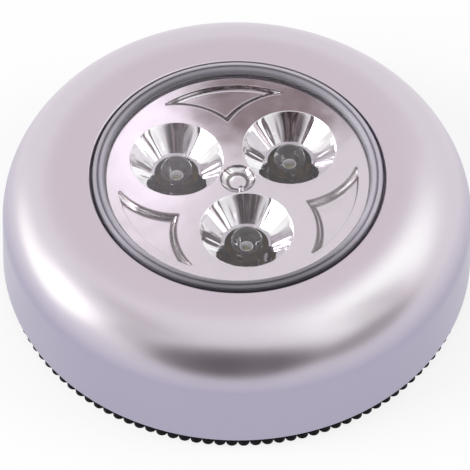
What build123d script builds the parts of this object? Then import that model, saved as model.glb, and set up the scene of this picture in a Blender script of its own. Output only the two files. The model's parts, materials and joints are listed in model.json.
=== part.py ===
from build123d import *
import math
import os

# Puck light with three LEDs and a lens that is pressed to switch it, in millimetres.
# +Z is the lens side, the origin is the middle of the mounting face, and -Y is the front.
# Heights are stacked from the mounting face up, and radii from the middle out.

# Clearances that several pieces share
overrun = 1.0  # how far a cut runs past what it cuts
touch_gap = 0.05  # between pieces of one body that only just meet
slide_gap = 0.3  # between pieces that move past each other
seat_gap = 0.1  # round a piece that drops into its pocket

# Where things repeat round the light
unit_count = 3
corner_angles = [-90.0, 30.0, 150.0]  # LEDs, posts and chassis corners
side_angles = [90.0, 210.0, 330.0]  # cells and lens guides

# Base: the floor under the cells, with a grip of scallops round its edge
pad_thickness = 0.7
pad_radius = 27.0
floor_over_pad = 0.9
flange_height = 1.75
scallop_count = 120
scallop_flats = 3
scallop_depth = 0.65
base_setback = 0.5  # base edge inside the shell's side

# Bayonet that holds the housing on the base
collar_wall = 0.9
collar_cell_gap = 0.3
lug_thickness = 1.0
lug_side_gap = 0.3
ledge_thickness = 1.0
ledge_lift = 0.25  # ledge above the shell's edge
bayonet_gap = 0.2
lug_sweep = 26.0
ledge_sweep = 22.0
stop_sweep = 2.0
stop_slack = 0.6

# AAA cell
cell_radius = 5.25
cell_length = 44.5
nub_radius = 1.9
nub_height = 0.8
cell_lift = 0.3  # cell above the base's floor

# Battery chassis
channel_gap = 0.3
bay_wall = 0.95
deck_thickness = 0.9
floor_gap = 0.2
well_floor = 0.9
well_corner_radius = 19.5
board_gap = 0.4
guide_wall = 1.0
guide_sweep = 50.0
guide_top_gap = 0.4
ear_gap = 0.35
ear_thickness = 1.3
ear_radius = 3.3

# Contacts
plate_thickness = 0.3
plate_half_width = 2.8
spring_length = 2.3
spring_wire_radius = 0.2
spring_foot_radius = 2.3
spring_tip_radius = 1.2
spring_turns = 2.0
spring_wire_sides = 4
tag_width = 1.8
tag_rise = 0.9

# Wires from the contacts to the board
wire_radius = 0.5
wire_sides = 8
wire_bend = 1.1
wire_inset = 1.0  # wire's end inside the board's corner
wire_spread_angles = [-96.9, -85.8]

# Screws
screw_radius = 0.95
screw_head_radius = 1.7
screw_head_height = 1.1
screw_length = 5.0
screw_clearance = 0.25
pilot_gap = 0.05
post_radius = 1.9
post_bite = 0.1  # how far a post runs into the shell's wall

# Board, switch and LEDs
travel = 1.8  # how far the lens is pressed
press_gap = 0.2  # left under the switch when it is pressed
switch_height = 5.1
switch_width = 5.8
stem_width = 2.6
stem_grip = 2.2
stem_gap = 0.1
stem_chamfer = 0.4
pin_width = 0.5
pin_pitch = 2.0
pin_rise = 0.6
board_thickness = 1.4
board_apothem = 11.8
board_corner_radius = 15.2
board_rounding = 1.0
hole_gap = 0.15
led_radius = 2.5
led_height = 8.7
led_flange_radius = 2.9
led_flange_height = 1.0
led_pitch_radius = 10.08
dome_stretches = 3
led_recess = 0.6  # LED's top below the reflector's face
lead_width = 0.5
lead_offset = 1.27
lead_tail = 1.2
resistor_radius = 1.2
resistor_length = 6.3
resistor_lead_offset = 4.6
resistor_place = 5.2
resistor_gap = 0.2

# Reflector
cup_radius = 7.18
cup_hole_radius = 3.4
cup_depth = 2.6
wing_depth = 1.0
wing_slope = 45.0
wing_margin = 3.32  # from a cup's rim to the wing beside it
wing_outer_radius = 18.5
dimple_radius = 2.7
dimple_depth = 1.1
boss_radius = 2.0
boss_margin = 1.3

# Lens
lens_radius = 22.2
lens_gap = 0.4  # groove between the lens and the shell
lens_thickness = 0.9
rim_rise = 0.55
rim_width = 1.5
rim_slope = 0.45
rim_rounding = 0.35
skirt_wall = 1.6
skirt_height = 3.3
reflector_side_gap = 0.25
flange_width = 1.3
flange_thickness = 1.2
snap_bead = 0.45
snap_height = 0.5
snap_sweep = 20.0

# Housing shell
shell_wall = 1.4
edge_gap = 0.2  # between the shell's edge and the base's flange
corner_room = 1.91  # from a cell's outer corner to the shell's inside
top_flat = 2.05
shoulder_height = 10.0
rim_stand = 0.4  # lens rim above the shell's top
opening_rounding = 0.25
shoulder_stretches = 8
inside_stretches = 2
foot_rounding = 0.3

# Heights, from the mounting face up
floor_top = pad_thickness + floor_over_pad
edge_height = flange_height + edge_gap
ledge_low = edge_height + ledge_lift
ledge_high = ledge_low + ledge_thickness
lug_low = ledge_high + bayonet_gap
lug_high = lug_low + lug_thickness
chassis_bottom = floor_top + floor_gap
well_floor_top = chassis_bottom + well_floor
cell_height = floor_top + cell_lift + cell_radius
channel_radius = cell_radius + channel_gap
deck_top = cell_height + channel_radius + deck_thickness
deck_bottom = deck_top - deck_thickness
ear_bottom = lug_high + ear_gap + screw_head_height
ear_top = ear_bottom + ear_thickness
switch_bottom = well_floor_top + press_gap + travel
board_bottom = switch_bottom + switch_height
board_top = board_bottom + board_thickness
reflector_top = board_top + led_height + led_recess
reflector_bottom = reflector_top - cup_depth
lens_bottom = reflector_top + touch_gap
lens_top = lens_bottom + lens_thickness
light_height = lens_top + rim_rise
shell_top = light_height - rim_stand
shell_ceiling = shell_top - shell_wall
side_top = shell_top - shoulder_height
flange_top = shell_ceiling - slide_gap
flange_bottom = flange_top - flange_thickness
skirt_bottom = reflector_top - skirt_height

# Radii, from the middle out
well_apothem = board_apothem + board_gap
cell_apothem = well_apothem + bay_wall + channel_radius
cell_corner_radius = math.hypot(cell_apothem + cell_radius, cell_length / 2)
shell_inner_radius = cell_corner_radius + corner_room
light_radius = shell_inner_radius + shell_wall
base_radius = light_radius - base_setback
lug_radius = shell_inner_radius - lug_side_gap
opening_radius = lens_radius + lens_gap
shoulder_radius = opening_radius + top_flat
shoulder_width = light_radius - shoulder_radius
skirt_inner_radius = lens_radius - skirt_wall
reflector_radius = skirt_inner_radius - reflector_side_gap
lens_flange_radius = lens_radius + flange_width
guide_radius = lens_flange_radius + slide_gap
post_ring_radius = shell_inner_radius + post_bite - post_radius
boss_pitch_radius = board_apothem - boss_margin - boss_radius
wing_side_radius = cup_radius + wing_margin


def cell_reach(height):
    """Radius that a cell's outer corner reaches at or below a height."""
    drop = max(cell_height - height, 0)
    return math.hypot(cell_apothem + math.sqrt(cell_radius**2 - drop**2), cell_length / 2)


def shoulder_points(inset, stretches):
    """Points down the shoulder's quarter ellipse, set in from the outside."""
    across, up = shoulder_width - inset, shoulder_height - inset
    turns = [math.pi / 2 * i / stretches for i in range(stretches + 1)]
    return [(shoulder_radius + across * math.sin(turn), side_top + up * math.cos(turn)) for turn in turns]


def shell_inside(height):
    """Inner radius of the shell's shoulder at a height, along its straight stretches."""
    points = shoulder_points(shell_wall, inside_stretches)
    for (near, high), (far, low) in zip(points, points[1:]):
        if low <= height <= high:
            return far + (near - far) * (height - low) / (high - low)
    return shell_inner_radius


collar_inner_radius = cell_reach(lug_high) + collar_cell_gap
collar_outer_radius = collar_inner_radius + collar_wall
ledge_radius = collar_outer_radius + lug_side_gap
chassis_low_radius = collar_inner_radius - slide_gap
chassis_radius = shell_inside(deck_top) - slide_gap


def polar(radius, angle):
    """Point in plan at a radius and an angle in degrees."""
    return (radius * math.cos(math.radians(angle)), radius * math.sin(math.radians(angle)))


def turned(angle, radius=0.0, height=0.0):
    """Place at a radius and height, turned round the light's axis."""
    return Rot(0, 0, angle) * Pos(radius, 0, height)


def prism(sketch, low, high):
    """Sketch raised between two heights."""
    return Pos(0, 0, low) * extrude(sketch, high - low)


def disc(radius, low, high):
    return prism(Circle(radius), low, high)


def ring(inner, outer, low, high):
    return prism(Circle(outer) - Circle(inner), low, high)


def block(x_low, x_high, y_low, y_high, z_low, z_high):
    """Box between two corners."""
    size = (x_high - x_low, y_high - y_low, z_high - z_low)
    middle = ((x_low + x_high) / 2, (y_low + y_high) / 2, (z_low + z_high) / 2)
    return Pos(*middle) * Box(*size)


def arc_block(inner, outer, low, high, middle, sweep):
    """Part of a ring, round a middle angle."""
    far = CenterArc((0, 0), outer, middle - sweep / 2, sweep)
    near = CenterArc((0, 0), inner, middle - sweep / 2, sweep)
    sides = [Line(far @ 0, near @ 0), Line(far @ 1, near @ 1)]
    return prism(make_face([far, near, *sides]), low, high)


def revolved(points):
    """Closed outline of radius and height pairs, turned round the Z axis."""
    return revolve(Plane.XZ * make_face(Polyline(*points, close=True)), Axis.Z)


def joined(solids):
    """One solid from many that meet."""
    whole = solids[0]
    for solid in solids[1:]:
        whole += solid
    return whole


def rounded_triangle(apothem, corner_radius):
    """Triangle with its corners towards the LEDs, cut short by a circle."""
    return RegularPolygon(2 * apothem, unit_count, rotation=corner_angles[0]) & Circle(corner_radius)


# Base


def scalloped_outline():
    """Outline of half-round lobes, each in a few flats, that meet in narrow valleys."""
    half_pitch = math.pi / scallop_count
    valley = base_radius - scallop_depth
    half_width = valley * math.sin(half_pitch)
    rise = base_radius - valley * math.cos(half_pitch)
    lobe_radius = (half_width**2 + rise**2) / (2 * rise)
    lobe_middle = base_radius - lobe_radius
    half_sweep = math.atan2(half_width, lobe_radius - rise)
    points = []
    for i in range(scallop_count):
        for j in range(scallop_flats):
            lobe_angle = math.degrees(half_sweep) * (2 * j / scallop_flats - 1)
            spot = turned(i * 360 / scallop_count, lobe_middle) * Pos(*polar(lobe_radius, lobe_angle))
            points.append((spot.position.X, spot.position.Y))
    return make_face(Polyline(*points, close=True))


def base_cover():
    """Black base: scalloped flange, floor, collar and three bayonet lugs with stops."""
    solid = prism(scalloped_outline(), 0, flange_height)
    solid -= disc(collar_inner_radius, floor_top, flange_height + overrun)
    solid += ring(collar_inner_radius, collar_outer_radius, floor_top, lug_high)
    stop_angle = (ledge_sweep + stop_sweep) / 2 + stop_slack
    for angle in side_angles:
        solid += arc_block(collar_inner_radius, lug_radius, lug_low, lug_high, angle, lug_sweep)
        stop = (angle - stop_angle, stop_sweep)
        solid += arc_block(collar_inner_radius, lug_radius, floor_top, lug_high, *stop)
    return solid - disc(pad_radius + seat_gap, -overrun, pad_thickness)


def adhesive_pad():
    return disc(pad_radius, 0, pad_thickness)


# Housing


def dome():
    """Filled outside shape of the shell: flat top, elliptical shoulder and upright side."""
    foot = [(light_radius, edge_height + foot_rounding), (light_radius - foot_rounding, edge_height)]
    return revolved([(0, shell_top), *shoulder_points(0, shoulder_stretches), *foot, (0, edge_height)])


def dome_inside(inset):
    """Filled inside shape of the shell, set in from the outside and open below."""
    low = edge_height - overrun
    shoulder = shoulder_points(inset, inside_stretches)
    return revolved([(0, shell_top - inset), *shoulder, (light_radius - inset, low), (0, low)])


def housing_shell():
    """Silver ring housing with its ledges for the bayonet and its screw posts."""
    core = dome_inside(shell_wall / 2)
    solid = dome() - dome_inside(shell_wall)
    for angle in side_angles:
        outer = shell_inner_radius + shell_wall / 2
        solid += arc_block(ledge_radius, outer, ledge_low, ledge_high, angle, ledge_sweep)
    for angle in corner_angles:
        post = Cylinder(post_radius, shell_top - ear_top, align=(Align.CENTER, Align.CENTER, Align.MIN))
        solid += turned(angle, post_ring_radius, ear_top) * post & core
    solid -= revolved([
        (0, shell_ceiling - overrun),
        (opening_radius, shell_ceiling - overrun),
        (opening_radius, shell_top - opening_rounding),
        (opening_radius + opening_rounding + overrun, shell_top + overrun),
        (0, shell_top + overrun),
    ])
    pilot = disc(screw_radius + pilot_gap, ear_top - overrun, ear_bottom + screw_length)
    for angle in corner_angles:
        solid -= turned(angle, post_ring_radius) * pilot
    return solid


def plate_place(end):
    """Distance of a contact plate's middle along its cell; the far end has the nub."""
    reach = cell_length / 2 + plate_thickness / 2
    return reach if end > 0 else -reach - spring_length


def plate_points(side, end):
    """Outer and inner end of a contact plate in plan."""
    points = []
    for across in (plate_half_width, -plate_half_width):
        spot = turned(side) * Pos(cell_apothem + across, plate_place(end), 0)
        points.append((spot.position.X, spot.position.Y))
    return points


def strip_paths():
    """Plan paths of the two links and the two end contacts, by node name."""
    last, first = side_angles[1], side_angles[2]
    return {
        "contact_link_left": plate_points(side_angles[0], 1) + plate_points(last, -1)[::-1],
        "contact_link_right": plate_points(first, 1) + plate_points(side_angles[0], -1)[::-1],
        "contact_positive": plate_points(last, 1),
        "contact_negative": plate_points(first, -1),
    }


def strip(points, width, low, high):
    """Thin upright strip that follows a path in plan."""
    return prism(trace(Polyline(*points), width), low, high)


def terminal_tag(side, end, gap, low, high):
    """Upright tag on an end contact's inner edge."""
    inner = cell_apothem - plate_half_width
    half = plate_thickness / 2 + gap
    place = plate_place(end)
    return turned(side) * block(inner - gap, inner + tag_width + gap, place - half, place + half, low, high)


def cell_channel():
    """Room for one cell, open below, in the place of the side at angle zero."""
    half = cell_length / 2
    tunnel = Pos(cell_apothem, 0, cell_height) * Rot(90, 0, 0) * Cylinder(channel_radius, cell_length)
    low = chassis_bottom - overrun
    spread = (cell_apothem - channel_radius, cell_apothem + channel_radius)
    room = tunnel + block(*spread, -half, half, low, cell_height)
    plate = plate_half_width + seat_gap
    pocket_low = -half - spring_length - plate_thickness - seat_gap
    pocket_high = half + plate_thickness + seat_gap
    top = cell_height + plate
    return room + block(cell_apothem - plate, cell_apothem + plate, pocket_low, pocket_high, low, top)


def battery_chassis():
    """Moulded tray: three cell channels, a deck, a central well, lens guides and screw ears."""
    outer = cell_apothem + channel_radius + bay_wall
    reach = cell_length / 2 + spring_length + plate_thickness + seat_gap + bay_wall
    bay = block(well_apothem, outer, -reach, reach, chassis_bottom, deck_top)
    ear = disc(ear_radius, ear_bottom, deck_top)
    well = rounded_triangle(well_apothem + bay_wall, well_corner_radius + bay_wall)
    walls = [prism(well, chassis_bottom, deck_top), disc(chassis_radius, deck_bottom, deck_top)]
    walls += [turned(angle) * bay for angle in side_angles]
    walls += [turned(angle, post_ring_radius) * ear for angle in corner_angles]
    foot = disc(chassis_low_radius, chassis_bottom, ear_bottom)
    solid = joined(walls) & (foot + disc(chassis_radius, ear_bottom, deck_top))
    solid -= prism(rounded_triangle(well_apothem, well_corner_radius), well_floor_top, deck_top + overrun)
    for angle in side_angles:
        solid -= turned(angle) * cell_channel()
        guide = (guide_radius, guide_radius + guide_wall, deck_bottom, shell_ceiling - guide_top_gap)
        solid += arc_block(*guide, angle, guide_sweep)
    slot = plate_thickness + 2 * seat_gap
    for points in strip_paths().values():
        low, high = chassis_bottom - overrun, cell_height + plate_half_width + seat_gap
        solid -= strip(points, slot, low, high)
    solid -= terminal_tag(side_angles[1], 1, seat_gap, cell_height, deck_top + overrun)
    solid -= terminal_tag(side_angles[2], -1, seat_gap, cell_height, deck_top + overrun)
    notch = disc(post_radius + slide_gap, ear_top, deck_top + overrun)
    bore = disc(screw_radius + screw_clearance, ear_bottom - overrun, ear_top + overrun)
    head_room = disc(screw_head_radius + seat_gap, chassis_bottom - overrun, ear_bottom)
    for angle in corner_angles:
        solid -= turned(angle, post_ring_radius) * (notch + bore + head_room)
    return solid


def screw():
    """Cheese-head screw, head down, its seat at height zero."""
    return disc(screw_head_radius, -screw_head_height, 0) + disc(screw_radius, 0, screw_length)


def chassis_screws():
    return [turned(angle, post_ring_radius, ear_bottom) * screw() for angle in corner_angles]


def on_cell(side):
    """Place of a cell's middle, with its axis along the cell and its nub ahead."""
    return turned(side) * Pos(cell_apothem, 0, cell_height) * Rot(-90, 0, 0)


def cell(side):
    """AAA cell with its raised nub."""
    body = disc(cell_radius, -cell_length / 2, cell_length / 2 - nub_height)
    return on_cell(side) * (body + disc(nub_radius, 0, cell_length / 2))


def contact_strips():
    """Nickel strips by node name; the two end contacts have tags for the wires."""
    strips = {}
    for name, points in strip_paths().items():
        low, high = cell_height - plate_half_width, cell_height + plate_half_width
        strips[name] = strip(points, plate_thickness, low, high)
    span = (cell_height, deck_top + tag_rise)
    strips["contact_positive"] += terminal_tag(side_angles[1], 1, 0, *span)
    strips["contact_negative"] += terminal_tag(side_angles[2], -1, 0, *span)
    return strips


def coil_point(share):
    """Point on the conical coil, with share running from its foot to its tip."""
    angle = 2 * math.pi * spring_turns * share
    radius = spring_foot_radius + (spring_tip_radius - spring_foot_radius) * share
    rise = spring_wire_radius + (spring_length - 2 * spring_wire_radius) * share
    return Vector(radius * math.cos(angle), radius * math.sin(angle), rise)


def coil_tangent(share):
    """Direction of the conical coil, from its rates of turn, taper and rise."""
    rate = 2 * math.pi * spring_turns
    angle = rate * share
    radius = spring_foot_radius + (spring_tip_radius - spring_foot_radius) * share
    taper = spring_tip_radius - spring_foot_radius
    x = taper * math.cos(angle) - radius * rate * math.sin(angle)
    y = taper * math.sin(angle) + radius * rate * math.cos(angle)
    return Vector(x, y, spring_length - 2 * spring_wire_radius).normalized()


def biarc(start, start_way, end, end_way):
    """Two arcs between two points that leave and arrive in given directions."""
    chord, ways = end - start, start_way + end_way
    turn = 2 * (1 - start_way.dot(end_way))
    along = chord.dot(ways)
    reach = (math.sqrt(along**2 + turn * chord.dot(chord)) - along) / turn
    middle = (start + start_way * reach + end - end_way * reach) * 0.5
    first = Edge.make_tangent_arc(start, start_way, middle)
    return [first, Edge.make_tangent_arc(middle, first % 1, end)]


def contact_spring(side):
    """Conical spring against a cell's flat end, one tube along quarter-turn arcs."""
    quarters = round(4 * spring_turns)
    edges = []
    for i in range(quarters):
        share, after = i / quarters, (i + 1) / quarters
        ends = (coil_point(share), coil_tangent(share), coil_point(after), coil_tangent(after))
        edges += biarc(*ends)
    start = Plane(origin=coil_point(0), z_dir=coil_tangent(0))
    coil = sweep(start * RegularPolygon(spring_wire_radius, spring_wire_sides), path=Wire(edges))
    foot = Pos(0, 0, -cell_length / 2 - spring_length)
    return on_cell(side) * foot * coil


def coil_gap():
    """Least gap between neighbouring turns of a contact spring."""
    steps = 400
    points = [coil_point(i / steps) for i in range(steps + 1)]
    half_turn = round(steps / spring_turns / 2)
    near = [
        (points[i] - points[j]).length
        for i in range(len(points))
        for j in range(i + half_turn, len(points))
    ]
    return min(near) - 2 * spring_wire_radius


def wire(index, end):
    """Insulated wire from a contact's tag over the deck and down to the board."""
    inner = cell_apothem - plate_half_width + tag_width / 2
    tag = math.hypot(inner, plate_place(end))
    height = deck_top + touch_gap + wire_radius
    start = tag - plate_thickness - wire_radius - touch_gap
    drop = board_corner_radius - wire_inset
    path = FilletPolyline((start, 0, height), (drop, 0, height), (drop, 0, board_top), radius=wire_bend)
    section = Plane(origin=(start, 0, height), z_dir=(-1, 0, 0)) * RegularPolygon(wire_radius, wire_sides)
    return turned(wire_spread_angles[index]) * sweep(section, path=path)


# Light engine: everything that goes down with the lens


def lens():
    """Clear lens with its raised rim, skirt, travel flange and snap beads."""
    step = lens_radius - rim_width
    outline = [
        (0, lens_bottom),
        (skirt_inner_radius, lens_bottom),
        (skirt_inner_radius, skirt_bottom),
        (lens_radius, skirt_bottom),
        (lens_radius, flange_bottom),
        (lens_flange_radius, flange_bottom),
        (lens_flange_radius, flange_top),
        (lens_radius, flange_top),
        (lens_radius, light_height - rim_rounding),
        (lens_radius - rim_rounding, light_height),
        (step, light_height),
        (step - rim_slope, lens_top),
        (0, lens_top),
    ]
    solid = revolved(outline)
    for angle in side_angles:
        bead = (skirt_inner_radius - snap_bead, skirt_inner_radius + skirt_wall / 2)
        low = reflector_bottom - touch_gap - snap_height
        solid += arc_block(*bead, low, low + snap_height, angle, snap_sweep)
    return solid


def pocket_cone(radius, way):
    """Cone with a given radius at the reflector's face, wider upwards or downwards."""
    spread = way / math.tan(math.radians(wing_slope))
    low, high = reflector_top - wing_depth, reflector_top + overrun
    foot, head = (radius - wing_depth * spread, low), (radius + overrun * spread, high)
    return revolved([(0, low), foot, head, (0, high)])


def wing_pockets():
    """Three curved pockets with sloped walls, between the cups."""
    pockets = pocket_cone(wing_outer_radius, 1)
    for angle in corner_angles:
        pockets -= turned(angle, led_pitch_radius) * pocket_cone(wing_side_radius, -1)
    return pockets - disc(cup_radius / 2, reflector_bottom, reflector_top + 2 * overrun)


def reflector():
    """Chromed plate with three cups, three wing pockets, a middle dimple and board posts."""
    solid = disc(reflector_radius, reflector_bottom, reflector_top)
    cup = revolved([
        (0, reflector_bottom - overrun),
        (cup_hole_radius, reflector_bottom - overrun),
        (cup_hole_radius, reflector_bottom),
        (cup_radius, reflector_top),
        (cup_radius, reflector_top + overrun),
        (0, reflector_top + overrun),
    ])
    for angle in side_angles:
        post = disc(boss_radius, board_top, reflector_bottom)
        pilot = disc(screw_radius + pilot_gap, board_top - overrun, board_bottom + screw_length + pilot_gap)
        solid += turned(angle, boss_pitch_radius) * (post - pilot)
    for angle in corner_angles:
        solid -= turned(angle, led_pitch_radius) * cup
    return solid - wing_pockets() - dimple()


def dimple():
    """Shallow cone in the middle of the reflector's face."""
    high = reflector_top + overrun
    return revolved([
        (0, reflector_top - dimple_depth),
        (dimple_radius, reflector_top),
        (dimple_radius, high),
        (0, high),
    ])


def led_board():
    """Triangular circuit board with holes for leads, switch pins and screws."""
    outline = rounded_triangle(board_apothem, board_corner_radius)
    outline = fillet(outline.vertices(), board_rounding)
    hole = lead_width + 2 * hole_gap
    for place in lead_places() + pin_places() + resistor_lead_places():
        outline -= Pos(*place) * Rectangle(hole, hole)
    for angle in side_angles:
        outline -= Pos(*polar(boss_pitch_radius, angle)) * Circle(screw_radius + screw_clearance)
    return prism(outline, board_bottom, board_top)


def lead_places():
    """Where the six LED legs pass through the board."""
    places = []
    for angle in corner_angles:
        for offset in (-lead_offset, lead_offset):
            spot = (turned(angle) * Pos(led_pitch_radius, offset, 0)).position
            places.append((spot.X, spot.Y))
    return places


def pin_places():
    """Where the six switch pins pass through the board."""
    row = switch_width / 2 - pin_width
    return [(x, y * pin_pitch) for x in (-row, row) for y in (-1, 0, 1)]


def resistor_lead_places():
    return [(side * resistor_lead_offset, -resistor_place) for side in (-1, 1)]


def square_pins(places, width, low, high):
    half = width / 2
    return [block(x - half, x + half, y - half, y + half, low, high) for x, y in places]


def led(angle):
    """Five-millimetre LED: flange, round body and domed top."""
    shoulder = board_top + led_height - led_radius
    flange_height = board_top + led_flange_height
    outline = [(0, board_top), (led_flange_radius, board_top)]
    outline += [(led_flange_radius, flange_height), (led_radius, flange_height)]
    for i in range(dome_stretches + 1):
        turn = math.pi / 2 * i / dome_stretches
        outline.append((led_radius * math.cos(turn), shoulder + led_radius * math.sin(turn)))
    return turned(angle, led_pitch_radius) * revolved(outline)


def switch_body():
    """Latching switch under the board, with the shaft for its stem."""
    half = switch_width / 2
    solid = block(-half, half, -half, half, switch_bottom, board_bottom)
    shaft = stem_width / 2 + stem_gap
    top = switch_bottom + stem_grip + travel + press_gap
    return solid - block(-shaft, shaft, -shaft, shaft, switch_bottom - overrun, top)


def switch_stem():
    """Square stem that stands on the well's floor and pushes into the switch."""
    half = stem_width / 2
    low = well_floor_top + touch_gap
    stem = block(-half, half, -half, half, low, switch_bottom + stem_grip)
    return chamfer(stem.edges().group_by(Axis.Z)[0], stem_chamfer)


def resistor():
    """Axial resistor, lying under the board."""
    place = Pos(0, -resistor_place, resistor_height())
    return place * Rot(0, 90, 0) * Cylinder(resistor_radius, resistor_length)


def resistor_height():
    return board_bottom - resistor_gap - resistor_radius


def resistor_leads():
    """Two square-bent legs from the resistor's ends up through the board."""
    legs = []
    half, height = lead_width / 2, resistor_height()
    for x, y in resistor_lead_places():
        near, far = sorted((math.copysign(resistor_length / 2, x), x + math.copysign(half, x)))
        across = (y - half, y + half)
        flat = block(near, far, *across, height - half, height + half)
        rise = block(x - half, x + half, *across, height - half, board_top + pin_rise)
        legs.append(flat + rise)
    return legs


def board_screws():
    return [turned(angle, boss_pitch_radius, board_bottom) * screw() for angle in side_angles]


def all_parts():
    """Every node by name."""
    parts = {
        "base_cover": base_cover(),
        "adhesive_pad": adhesive_pad(),
        "housing_shell": housing_shell(),
        "battery_chassis": battery_chassis(),
        "chassis_screws": chassis_screws(),
        "wire_red": wire(0, 1),
        "wire_black": wire(1, -1),
        "lens": lens(),
        "reflector": reflector(),
        "led_board": led_board(),
        "led_leads": square_pins(lead_places(), lead_width, board_bottom - lead_tail, board_top),
        "switch_body": switch_body(),
        "switch_pins": square_pins(pin_places(), pin_width, board_bottom, board_top + pin_rise),
        "switch_stem": switch_stem(),
        "resistor": resistor(),
        "resistor_leads": resistor_leads(),
        "board_screws": board_screws(),
    }
    parts.update(contact_strips())
    for i in range(unit_count):
        parts[f"cell_{i + 1}"] = cell(side_angles[i])
        parts[f"contact_spring_{i + 1}"] = contact_spring(side_angles[i])
        parts[f"led_{i + 1}"] = led(corner_angles[i])
    return parts


def write_parts():
    """One STEP file for each node."""
    os.makedirs("parts", exist_ok=True)
    for name, shape in all_parts().items():
        solids = shape if isinstance(shape, list) else [shape]
        flat = [solid for piece in solids for solid in piece.solids()]
        whole = flat[0] if len(flat) == 1 else Compound(children=flat)
        export_step(whole, f"parts/{name}.step")
    print("height", round(light_height, 3), "radius", round(light_radius, 3))
    print("least gap between spring turns", round(coil_gap(), 3))


write_parts()
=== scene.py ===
"""Puck light, dressed for a photograph: its surfaces, finishes, light and camera.

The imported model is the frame. Shapes are in millimetres, with +Z out of the lens and -Y to the
front, and each mesh is turned into metres when it is made. Finishes and stage are in metres.
"""

import json
import logging
import math
from dataclasses import dataclass, field
from enum import Enum

import bmesh
import bpy
import numpy as np
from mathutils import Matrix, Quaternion, Vector
from mathutils.geometry import delaunay_2d_cdt

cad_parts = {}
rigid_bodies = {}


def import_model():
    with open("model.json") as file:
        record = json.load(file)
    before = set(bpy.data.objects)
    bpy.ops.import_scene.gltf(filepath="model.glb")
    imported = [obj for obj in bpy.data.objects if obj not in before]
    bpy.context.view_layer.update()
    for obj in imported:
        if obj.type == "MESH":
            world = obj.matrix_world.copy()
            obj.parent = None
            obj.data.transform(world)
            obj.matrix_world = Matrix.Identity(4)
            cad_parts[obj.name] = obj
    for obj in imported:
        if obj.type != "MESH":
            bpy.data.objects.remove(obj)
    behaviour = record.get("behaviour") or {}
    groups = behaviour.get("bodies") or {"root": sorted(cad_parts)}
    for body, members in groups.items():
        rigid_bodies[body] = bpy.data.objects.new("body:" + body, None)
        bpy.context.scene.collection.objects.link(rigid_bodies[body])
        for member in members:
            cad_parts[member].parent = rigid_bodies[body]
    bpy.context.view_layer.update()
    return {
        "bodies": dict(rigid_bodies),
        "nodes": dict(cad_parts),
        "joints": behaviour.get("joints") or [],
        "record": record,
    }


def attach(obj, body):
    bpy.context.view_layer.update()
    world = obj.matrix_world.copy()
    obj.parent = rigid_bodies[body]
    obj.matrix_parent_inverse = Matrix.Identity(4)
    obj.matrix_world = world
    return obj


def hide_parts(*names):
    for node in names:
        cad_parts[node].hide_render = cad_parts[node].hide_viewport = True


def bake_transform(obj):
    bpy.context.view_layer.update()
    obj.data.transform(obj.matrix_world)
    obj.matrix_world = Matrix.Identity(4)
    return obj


log = logging.getLogger("puck_light")

MM = 0.001
CORNER_ANGLES = (-90.0, 30.0, 150.0)
SIDE_ANGLES = (90.0, 210.0, 330.0)
SHARP = 30.0
NOISE_LOW, NOISE_HIGH = 0.3, 0.7

Colour = tuple[float, float, float]
Material = bpy.types.Material
Object = bpy.types.Object
Socket = bpy.types.NodeSocket
Number = Socket | float

RIGHT, BACK, UP = (1.0, 0.0, 0.0), (0.0, 1.0, 0.0), (0.0, 0.0, 1.0)
WHITE, GREY = (1.0, 1.0, 1.0), (0.5, 0.5, 0.5)


class Body(str, Enum):
    """Moving bodies that new pieces ride on."""

    BASE = "base"
    HOUSING = "housing"
    ENGINE = "light_engine"


class Slot(str, Enum):
    """Material slots of the record, which new pieces name but are not given."""

    BLACK_PLASTIC = "black_plastic"
    FOAM = "foam_tape"
    SILVER = "silver_paint"
    CLEAR = "clear_plastic"
    CHROME = "plated_chrome"
    EPOXY = "led_epoxy"
    TINNED = "tinned_metal"
    NICKEL = "contact_nickel"
    ZINC = "zinc_steel"
    WRAP = "cell_wrap"
    LACQUER = "resistor_lacquer"
    RED = "red_insulation"
    BLACK = "black_insulation"


# Surfaces


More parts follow.
